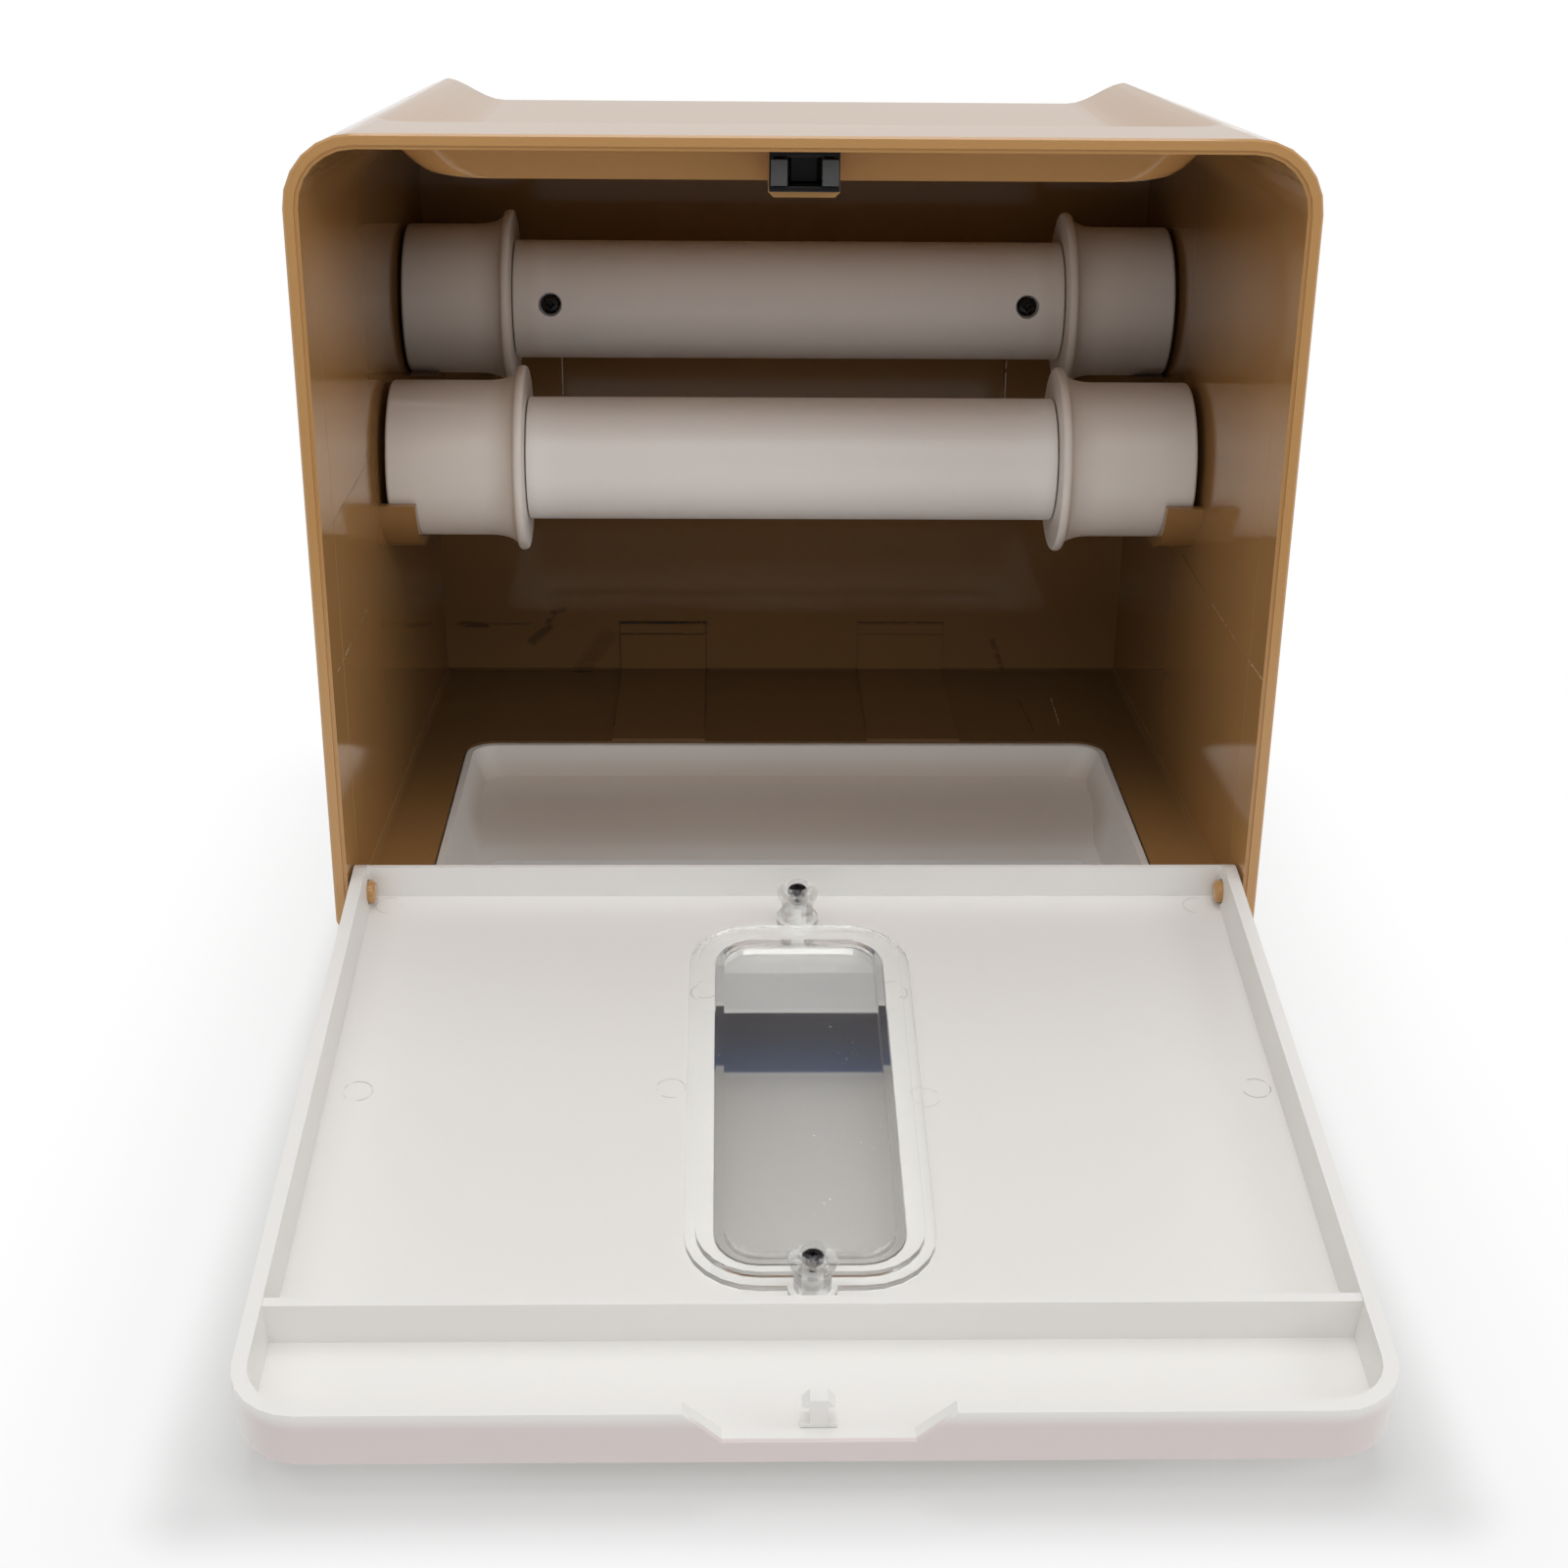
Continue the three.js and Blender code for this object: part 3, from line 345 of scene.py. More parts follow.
# Shader building
class Signal:
    """A shader value whose arithmetic adds Math nodes."""

    def __init__(self, paint: "Paint", socket: bpy.types.NodeSocket) -> None:
        """Wraps one output socket of a paint's node tree."""
        self.paint = paint
        self.socket = socket

    def _math(self, operation: str, *operands: "Signal | float", clamp: bool = False) -> "Signal":
        """Adds one Math node.

        Args:
            operation: The Math node's operation.
            *operands: Its inputs in order.
            clamp: Whether the result is kept between 0 and 1.

        Returns:
            The node's result.
        """
        settings = {"operation": operation, "use_clamp": clamp}
        return self.paint.node("ShaderNodeMath", settings, dict(enumerate(operands)))

    def __add__(self, other: "Signal | float") -> "Signal":
        """Adds."""
        return self._math("ADD", self, other)

    __radd__ = __add__

    def __sub__(self, other: "Signal | float") -> "Signal":
        """Subtracts."""
        return self._math("SUBTRACT", self, other)

    def __rsub__(self, other: float) -> "Signal":
        """Subtracts this signal from a number."""
        return self._math("SUBTRACT", other, self)

    def __mul__(self, other: "Signal | float") -> "Signal":
        """Multiplies."""
        return self._math("MULTIPLY", self, other)

    __rmul__ = __mul__

    def __truediv__(self, other: "Signal | float") -> "Signal":
        """Divides."""
        return self._math("DIVIDE", self, other)

    def __pow__(self, other: float) -> "Signal":
        """Raises to a power."""
        return self._math("POWER", self, other)

    def maximum(self, other: "Signal | float") -> "Signal":
        """Takes the larger of two values."""
        return self._math("MAXIMUM", self, other)

    def size(self) -> "Signal":
        """Drops the sign."""
        return self._math("ABSOLUTE", self)

    def clamped(self) -> "Signal":
        """Keeps the value between 0 and 1."""
        return self._math("ADD", self, 0.0, clamp=True)

    def step(self, low: float, high: float) -> "Signal":
        """Ramps smoothly from 0 to 1 between two values.

        Args:
            low: The value that gives 0.
            high: The value that gives 1; it may be below low.

        Returns:
            The ramp's result.
        """
        if low > high:
            return 1 - self.step(high, low)
        inputs = {"Value": self, "From Min": low, "From Max": high}
        return self.paint.node("ShaderNodeMapRange", {"interpolation_type": "SMOOTHSTEP"}, inputs)


class Paint:
    """One material and the node-making that its finish needs."""

    MIX_FIRST, MIX_SECOND, MIXED = 6, 7, 2

    def __init__(self, name: str) -> None:
        """Makes an empty material with a Principled shader."""
        self.material = bpy.data.materials.new(name)
        self._begin(self.material, "ShaderNodeOutputMaterial", "ShaderNodeBsdfPrincipled")

    def _begin(self, owner: bpy.types.Material | bpy.types.World, output: str, shader: str) -> None:
        """Gives a material or a world an empty tree with one shader.

        Args:
            owner: What the tree belongs to.
            output: The output node's type.
            shader: The shader node's type.
        """
        owner.use_nodes = True
        self.tree = owner.node_tree
        self.tree.nodes.clear()
        self.output = self.tree.nodes.new(output)
        self.shader = self.tree.nodes.new(shader)
        self.tree.links.new(self.shader.outputs[0], self.output.inputs["Surface"])
        self.place = self.node("ShaderNodeTexCoord", output="Object")

    def node(
        self,
        kind: str,
        settings: Mapping[str, Any] | None = None,
        inputs: Mapping[str | int, Any] | None = None,
        output: str | int = 0,
    ) -> Signal:
        """Adds a node.

        Args:
            kind: The node's Blender type.
            settings: Its properties.
            inputs: Values or signals for its sockets, by name or number.
            output: The output that is wanted.

        Returns:
            That output as a signal.
        """
        made = self.tree.nodes.new(kind)
        for key, value in (settings or {}).items():
            setattr(made, key, value)
        for key, value in (inputs or {}).items():
            if isinstance(value, Signal):
                self.tree.links.new(value.socket, made.inputs[key])
            else:
                made.inputs[key].default_value = value
        return Signal(self, made.outputs[output])

    def noise(self, scale: float, detail: float, stretch: Place) -> Signal:
        """Adds a noise texture in object space.

        Args:
            scale: Features per metre.
            detail: Octaves of finer noise.
            stretch: Scale of each axis, for a grain with a direction.

        Returns:
            The noise value around 0.5.
        """
        where = self.node("ShaderNodeMapping", None, {"Vector": self.place, "Scale": stretch})
        return self.node("ShaderNodeTexNoise", None, {"Vector": where, "Scale": scale, "Detail": detail})

    def mix(self, amount: Signal | float, first: Colour | Signal, second: Colour | Signal) -> Signal:
        """Mixes two colours.

        Args:
            amount: Share of the second colour.
            first: Colour at 0.
            second: Colour at 1.

        Returns:
            The mixed colour.
        """
        def full(colour: Colour | Signal) -> Any:
            """Adds the alpha that a colour socket takes."""
            return colour if isinstance(colour, Signal) else (*colour, 1.0)

        inputs = {0: amount, self.MIX_FIRST: full(first), self.MIX_SECOND: full(second)}
        return self.node("ShaderNodeMix", {"data_type": "RGBA"}, inputs, output=self.MIXED)

    def axis(self, name: str) -> Signal:
        """Gives one coordinate of the surface point, in metres."""
        return self.node("ShaderNodeSeparateXYZ", None, {"Vector": self.place}, output=name)

    def vector(
        self, operation: str, first: Signal | Vector, second: Signal | Vector, output: str | int = 0
    ) -> Signal:
        """Adds a Vector Math node.

        Args:
            operation: The node's operation.
            first: Its first input.
            second: Its second input.
            output: The output that is wanted, "Value" for a number.

        Returns:
            The node's result.
        """
        inputs = {0: first, 1: second}
        return self.node("ShaderNodeVectorMath", {"operation": operation}, inputs, output)

    def stroke(self, start: Vector, end: Vector, width: float) -> Signal:
        """Masks a thin stroke between two points.

        Args:
            start: One end, in metres.
            end: The other end.
            width: Half the stroke's width, in metres.

        Returns:
            1 on the stroke and 0 away from it.
        """
        span = end - start
        offset = self.vector("SUBTRACT", self.place, start)
        along = self.vector("DOT_PRODUCT", offset, span / span.length_squared, output="Value").clamped()
        nearest = self.node("ShaderNodeVectorMath", {"operation": "SCALE"}, {0: span, "Scale": along})
        gap = self.vector("DISTANCE", offset, nearest, output="Value")
        return gap.step(width, width * LINE_CORE_SHARE)

    def ring(self, centre: Vector, radius: float, width: float) -> Signal:
        """Masks a thin circle round a point.

        Args:
            centre: The circle's middle, in metres.
            radius: Its radius.
            width: Half the line's width.

        Returns:
            1 on the circle and 0 away from it.
        """
        gap = self.vector("DISTANCE", self.place, centre, output="Value")
        return (gap - radius).size().step(width, width * LINE_CORE_SHARE)

    def ray(self, kind: str) -> Signal:
        """Tells whether the point is looked at by a kind of ray, such as "Is Camera Ray"."""
        return self.node("ShaderNodeLightPath", output=kind)

    def bump(self, height: Signal, depth: float) -> None:
        """Feeds a height to the shader's normal.

        Args:
            height: The height signal.
            depth: Metres of relief for a height of 1.
        """
        self.feed("Normal", self.node("ShaderNodeBump", None, {"Height": height, "Distance": depth}))

    def feed(self, socket: str, value: Any) -> None:
        """Links a signal or sets a constant on the shader.

        Args:
            socket: The shader's socket.
            value: A signal, or a constant; three numbers are a colour.
        """
        if isinstance(value, Signal):
            self.tree.links.new(value.socket, self.shader.inputs[socket])
        elif isinstance(value, tuple) and len(value) == 3:
            self.shader.inputs[socket].default_value = (*value, 1.0)
        else:
            self.shader.inputs[socket].default_value = value


class SkyPaint(Paint):
    """A world and the node-making of its light."""

    def __init__(self, name: str) -> None:
        """Makes an empty world with a background shader and gives it to the scene.

        Args:
            name: The world's name.
        """
        world = bpy.data.worlds.new(name)
        bpy.context.scene.world = world
        self._begin(world, "ShaderNodeOutputWorld", "ShaderNodeBackground")


def strongest(masks: Sequence[Signal]) -> Signal:
    """Joins masks by taking the strongest at each point.

    Args:
        masks: The masks, at least one.

    Returns:
        The joined mask.
    """
    joined = masks[0]
    for mask in masks[1:]:
        joined = joined.maximum(mask)
    return joined


# Finishes
@dataclass(frozen=True)
class Grain:
    """A noise texture and, for patches, the span of it that fades in."""

    scale: float
    detail: float = 3.0
    stretch: Place = (1.0, 1.0, 1.0)
    span: Span = (0.0, 1.0)

    def noise(self, paint: Paint) -> Signal:
        """Gives the noise, around 0.5."""
        return paint.noise(self.scale, self.detail, self.stretch)

    def patches(self, paint: Paint) -> Signal:
        """Gives patches of 1 among 0."""
        return self.noise(paint).step(*self.span)


@dataclass(frozen=True)
class ScuffOrPaintedStroke:
    """One stroke, used for rub marks, scratches, painted shade lines and painted highlights: its two ends in
    case millimetres, half width and weight.
    """

    start: Place
    end: Place
    half_width: float
    weight: float = 1.0

    def mask(self, paint: Paint) -> Signal:
        """Gives the mark's mask, scaled by its weight."""
        start, end = DATUM.point(*self.start), DATUM.point(*self.end)
        return paint.stroke(start, end, self.half_width * MM) * self.weight


@dataclass(frozen=True)
class EjectorMark:
    """The faint circle that a mould's ejector pin leaves on the door's inner face."""

    across: float
    reach: float
    weight: float = 1.0
    radius: float = 3.1
    half_width: float = 0.22

    def mask(self, paint: Paint) -> Signal:
        """Gives the circle's mask, scaled by its weight."""
        centre = DOOR.point(self.across, self.reach, DOOR.panel)
        return paint.ring(centre, self.radius * MM, self.half_width * MM) * self.weight


@dataclass(frozen=True)
class Marks:
    """Marks of one kind: what breaks them up, and what they do to the skin."""

    marks: tuple[ScuffOrPaintedStroke | EjectorMark, ...]
    breaks: Grain
    colour: Colour
    cover: float = 1.0
    rougher: float = 0.0
    cut: float = 0.0

    def mask(self, paint: Paint) -> Signal:
        """Gives the marks' mask, broken up."""
        return strongest([mark.mask(paint) for mark in self.marks]) * self.breaks.patches(paint)


@dataclass(frozen=True)
class MouldedPlastic:
    """Injection-moulded plastic: faint flow in its colour, a polished or satin skin and handling marks, with
    any painted shade, painted light, painted highlights and painted glow it is given.
    """

    name: str
    colour: Colour
    shade: Colour
    roughness: float
    roughness_spread: float = 0.03
    flow_share: float = 0.35
    flow: Grain = Grain(9.0, 4.0, (1.0, 1.0, 0.4), (0.3, 0.75))
    smudges: Grain = Grain(38.0, 5.0, span=(0.5, 0.75))
    specks: Grain = Grain(260.0, 2.0)
    speck_share: float = 0.4
    grain: Grain = Grain(900.0, 2.0)
    grain_depth: float = 0.000002
    ripples: Grain = Grain(28.0, 1.0, (1.0, 1.0, 0.5))
    ripple_depth: float = 0.0
    specular: float = 0.5
    refraction: float = 1.53
    glow: float = 0.0
    glow_depth: float = 0.002
    glow_reach: Place = (1.0, 0.9, 0.8)
    # Masks of painted shade and painted light, mixed over the colour.
    painted_shading: tuple[CavityPaintedShade | TrayPaintedShade | SpindleMiddlePaintedLight | DoorEndPaintedShade, ...] = ()
    marks: tuple[Marks, ...] = ()
    # A painted glow (emission) on one edge.
    painted_glow_edge: PaintedGlowEdge | None = None

    def made(self) -> bpy.types.Material:
        """Builds the material.

        Returns:
            The finished material.
        """
        paint = Paint(self.name)
        drift = self.flow.noise(paint)
        colour = paint.mix(drift.step(*self.flow.span) * self.flow_share, self.colour, self.shade)
        smudge = self.smudges.patches(paint)
        rough = (drift - 0.5) * self.roughness_spread + smudge * self.roughness_spread + self.roughness
        relief = self.specks.noise(paint) * self.speck_share + self.grain.noise(paint)
        # Painted shade and painted light go over the colour here.
        for shading_paint in self.painted_shading:
            colour = paint.mix(shading_paint.mask(paint), colour, shading_paint.colour)
        for kind in self.marks:
            broken = kind.mask(paint)
            colour = paint.mix(broken * kind.cover, colour, kind.colour)
            rough = rough + broken * kind.rougher
            relief = relief - broken * kind.cut
        if self.painted_glow_edge:
            self.painted_glow_edge.feed(paint)
        paint.feed("Base Color", colour)
        paint.feed("Roughness", rough)
        paint.feed("Specular IOR Level", self.specular)
        paint.feed("IOR", self.refraction)
        if self.glow:
            paint.feed("Subsurface Weight", self.glow)
            paint.shader.inputs["Subsurface Radius"].default_value = self.glow_reach
            paint.feed("Subsurface Scale", self.glow_depth)
        if self.ripple_depth:
            relief = relief + self.ripples.noise(paint) * (self.ripple_depth / self.grain_depth)
        paint.bump(relief, self.grain_depth)
        return paint.material


@dataclass(frozen=True)
class ClearPlastic:
    """Clear moulded plastic with fine polish marks and a little dust, thinner looking in its posts."""

    name: str
    colour: Colour
    roughness: float
    refraction: float = 1.49
    body: float = 0.85
    post_body: float = 0.35
    post_lift: Span = (6.2, 7.2)
    light_through: float = 0.85
    haze: Grain = Grain(60.0, 4.0, span=(0.35, 0.8))
    haze_roughness: float = 0.04
    dust: Grain = Grain(1400.0, 1.0, span=(0.74, 0.8))
    dusty: Grain = Grain(45.0, 2.0, span=(0.45, 0.7))
    dust_roughness: float = 0.5
    dust_cover: float = 0.4
    ripples: Grain = Grain(90.0, 2.0)
    ripple_depth: float = 0.000004

    def made(self) -> bpy.types.Material:
        """Builds the material.

        Returns:
            The finished material.
        """
        paint = Paint(self.name)
        haze = self.haze.patches(paint) * self.haze_roughness
        dust = self.dust.patches(paint) * self.dusty.patches(paint)
        lift = DOOR.read(paint)[-1]
        body = self.body - lift.step(*self.post_lift) * (self.body - self.post_body)
        shown = 1 - paint.ray("Is Shadow Ray") * self.light_through
        paint.feed("Base Color", self.colour)
        paint.feed("Transmission Weight", 1.0)
        paint.feed("IOR", self.refraction)
        paint.feed("Roughness", haze + dust * self.dust_roughness + self.roughness)
        paint.feed("Alpha", (dust * self.dust_cover + body) * shown)
        paint.bump(self.ripples.noise(paint), self.ripple_depth)
        return paint.material


@dataclass(frozen=True)
class Metal:
    """Plain or blackened steel with turning marks."""

    name: str
    colour: Colour
    roughness: float
    roughness_spread: float = 0.3
    wear: Grain = Grain(1500.0, 3.0, span=(0.5, 0.8))
    wear_share: float = 0.5
    wear_gain: float = 2.2
    wear_lift: float = 0.05
    wear_depth: float = 0.00001

    def made(self) -> bpy.types.Material:
        """Builds the material.

        Returns:
            The finished material.
        """
        paint = Paint(self.name)
        wear = self.wear.noise(paint)
        brighter = tuple(min(1.0, part * self.wear_gain + self.wear_lift) for part in self.colour)
        worn = wear.step(*self.wear.span) * self.wear_share
        paint.feed("Base Color", paint.mix(worn, self.colour, brighter))
        paint.feed("Metallic", 1.0)
        paint.feed("Roughness", (wear - 0.5) * self.roughness_spread + self.roughness)
        paint.bump(wear, self.wear_depth)
        return paint.material


PAD_NEAR, PAD_FAR = 22.6, 48.4
PAD_TOP, PAD_GROOVE, PAD_BOTTOM = -163.3, -166.9, -178.2
PAD_BACK, PAD_TOP_BACK, PAD_GROOVE_BACK, PAD_FRONT = 176.4, 176.3, 176.2, 125.0
# Painted shade: thin dark lines along the edges and the groove of the raised slider pads, where shade falls.
PAD_EDGE_PAINTED_SHADE = tuple(
    ScuffOrPaintedStroke((sign * x0, y0, z0), (sign * x1, y1, z1), width, weight * strength)
    for sign, strength in ((-1, 1.0), (1, 0.42))
    for (x0, y0, z0), (x1, y1, z1), width, weight in (
        ((PAD_NEAR, PAD_TOP_BACK, PAD_TOP), (PAD_FAR, PAD_TOP_BACK, PAD_TOP), 0.8, 0.9),
        ((PAD_NEAR, PAD_GROOVE_BACK, PAD_GROOVE), (PAD_FAR, PAD_GROOVE_BACK, PAD_GROOVE), 0.5, 0.6),
        *(((x, PAD_BACK, PAD_TOP), (x, PAD_BACK, PAD_BOTTOM), 0.55, 0.6) for x in (PAD_NEAR, PAD_FAR)),
        *(((x, PAD_BACK, PAD_BOTTOM), (x, PAD_FRONT, PAD_BOTTOM), 0.55, 0.5) for x in (PAD_NEAR, PAD_FAR)),
    )
)
# Dark rub marks, with painted shade among them: the pad edge lines and two soft painted shadow patches.
RUBS_AND_PAINTED_SHADE = Marks(
    (
        ScuffOrPaintedStroke((-95.5, 176.8, -164.1), (-88.0, 176.8, -164.5), 1.3, 0.55),
        ScuffOrPaintedStroke((-96.9, 176.8, -164.1), (-75.5, 176.8, -164.0), 0.6, 0.35),
        ScuffOrPaintedStroke((-74.8, 176.8, -169.6), (-69.7, 176.8, -165.0), 1.9, 0.5),
        ScuffOrPaintedStroke((-70.5, 176.8, -165.5), (-68.0, 176.8, -160.6), 1.4, 0.5),
        ScuffOrPaintedStroke((-68.5, 176.8, -160.4), (-65.0, 176.8, -159.6), 1.3, 0.3),
        # The next two strokes are soft painted shadow patches on the back wall.
        ScuffOrPaintedStroke((-60.5, 177.2, -179.6), (-52.5, 177.2, -168.0), 4.0, 0.22),
        ScuffOrPaintedStroke((63.2, 176.8, -168.7), (66.5, 176.8, -178.0), 1.2, 0.35),
        *PAD_EDGE_PAINTED_SHADE,
        ScuffOrPaintedStroke((68.7, 150.7, -178.7), (70.2, 126.1, -178.7), 0.35, 0.5),
        ScuffOrPaintedStroke((-103.8, 78.5, -85.5), (-105.4, 10.9, -87.4), 0.16, 0.9),
        ScuffOrPaintedStroke((103.0, 94.2, -118.2), (103.7, 64.3, -119.2), 0.2, 0.4),
    ),
    Grain(900.0, 3.0, (0.25, 1.0, 1.0), (0.3, 0.5)), (0.012, 0.01, 0.008), rougher=0.3,
)
# Pale scratches, with painted highlights among them: the two lines at the hanging pockets' inner edges.
SCRATCHES_AND_PAINTED_HIGHLIGHTS = Marks(
    (
        ScuffOrPaintedStroke((105.0, 16.0, -120.1), (105.3, 1.1, -120.0), 0.22, 0.95),
        ScuffOrPaintedStroke((103.9, 56.0, -119.4), (105.0, 16.0, -120.1), 0.12, 0.55),
        ScuffOrPaintedStroke((-104.6, 25.0, -119.9), (-105.1, 7.2, -120.5), 0.2, 0.85),
        ScuffOrPaintedStroke((-104.1, 49.6, -119.1), (-104.6, 25.0, -119.9), 0.1, 0.5),
        ScuffOrPaintedStroke((78.4, 152.4, -178.7), (78.1, 130.1, -178.7), 0.2, 0.45),
        # The next two strokes are painted highlights along the hanging pockets' inner edges.
        ScuffOrPaintedStroke((-63.2, 171.8, -64.0), (-63.2, 171.8, -120.0), 0.45, 1.0),
        ScuffOrPaintedStroke((63.2, 171.8, -64.0), (63.2, 171.8, -120.0), 0.45, 0.8),
    ),
    Grain(500.0, 2.0, span=(0.35, 0.55)), (0.8, 0.68, 0.52), rougher=0.4, cut=3.0,
)
PIN_MARKS = Marks(
    (
        EjectorMark(-96.3, 0.6, 0.6), EjectorMark(95.3, 0.8, 0.6), EjectorMark(-95.0, 69.3),
        EjectorMark(-28.4, 68.6, 0.7), EjectorMark(97.2, 69.1), EjectorMark(-21.4, 35.8, 0.8),
        EjectorMark(21.0, 36.0, 0.8), EjectorMark(25.8, 72.0, 0.4),
    ),
    Grain(240.0, 1.0, span=(0.38, 0.58)), (0.4, 0.39, 0.37), cover=0.7, cut=2.0,
)
# Painted shade and light in these finishes: the case's roll space, the tray and the door's end are darkened,
# one door edge glows and each spindle's middle is paler.
FINISHES: dict[Slot, bpy.types.Material] = {
    Slot.CASE: MouldedPlastic(
        "tan_abs", (0.535, 0.292, 0.109), (0.485, 0.26, 0.094), 0.075, roughness_spread=0.04,
        ripple_depth=0.000012, painted_shading=(CavityPaintedShade(),), marks=(RUBS_AND_PAINTED_SHADE, SCRATCHES_AND_PAINTED_HIGHLIGHTS),
    ).made(),
    Slot.WHITE: MouldedPlastic(
        "white_abs", (0.90, 0.885, 0.86), (0.87, 0.855, 0.83), 0.3, ripple_depth=0.00001, glow=0.08,
        painted_shading=(TrayPaintedShade(), DoorEndPaintedShade()), marks=(PIN_MARKS,), painted_glow_edge=PaintedGlowEdge(),
    ).made(),
    Slot.WINDOW: ClearPlastic("clear_plastic", (0.97, 0.98, 0.98), 0.02).made(),
    Slot.SPINDLE: MouldedPlastic(
        "spindle_abs", (0.89, 0.84, 0.79), (0.86, 0.81, 0.76), 0.34, grain_depth=0.000004, specular=0.4,
        painted_shading=(SpindleMiddlePaintedLight(),),
    ).made(),
    Slot.CATCH: MouldedPlastic("catch_black", (0.008, 0.008, 0.009), (0.014, 0.014, 0.014), 0.3).made(),
    Slot.JAW: MouldedPlastic("jaw_grey", (0.085, 0.09, 0.088), (0.07, 0.07, 0.07), 0.4).made(),
    Slot.SPRING: Metal("spring_wire", (0.55, 0.54, 0.52), 0.3).made(),
    Slot.SCREW: Metal("blackened_steel", (0.045, 0.045, 0.05), 0.3).made(),
}


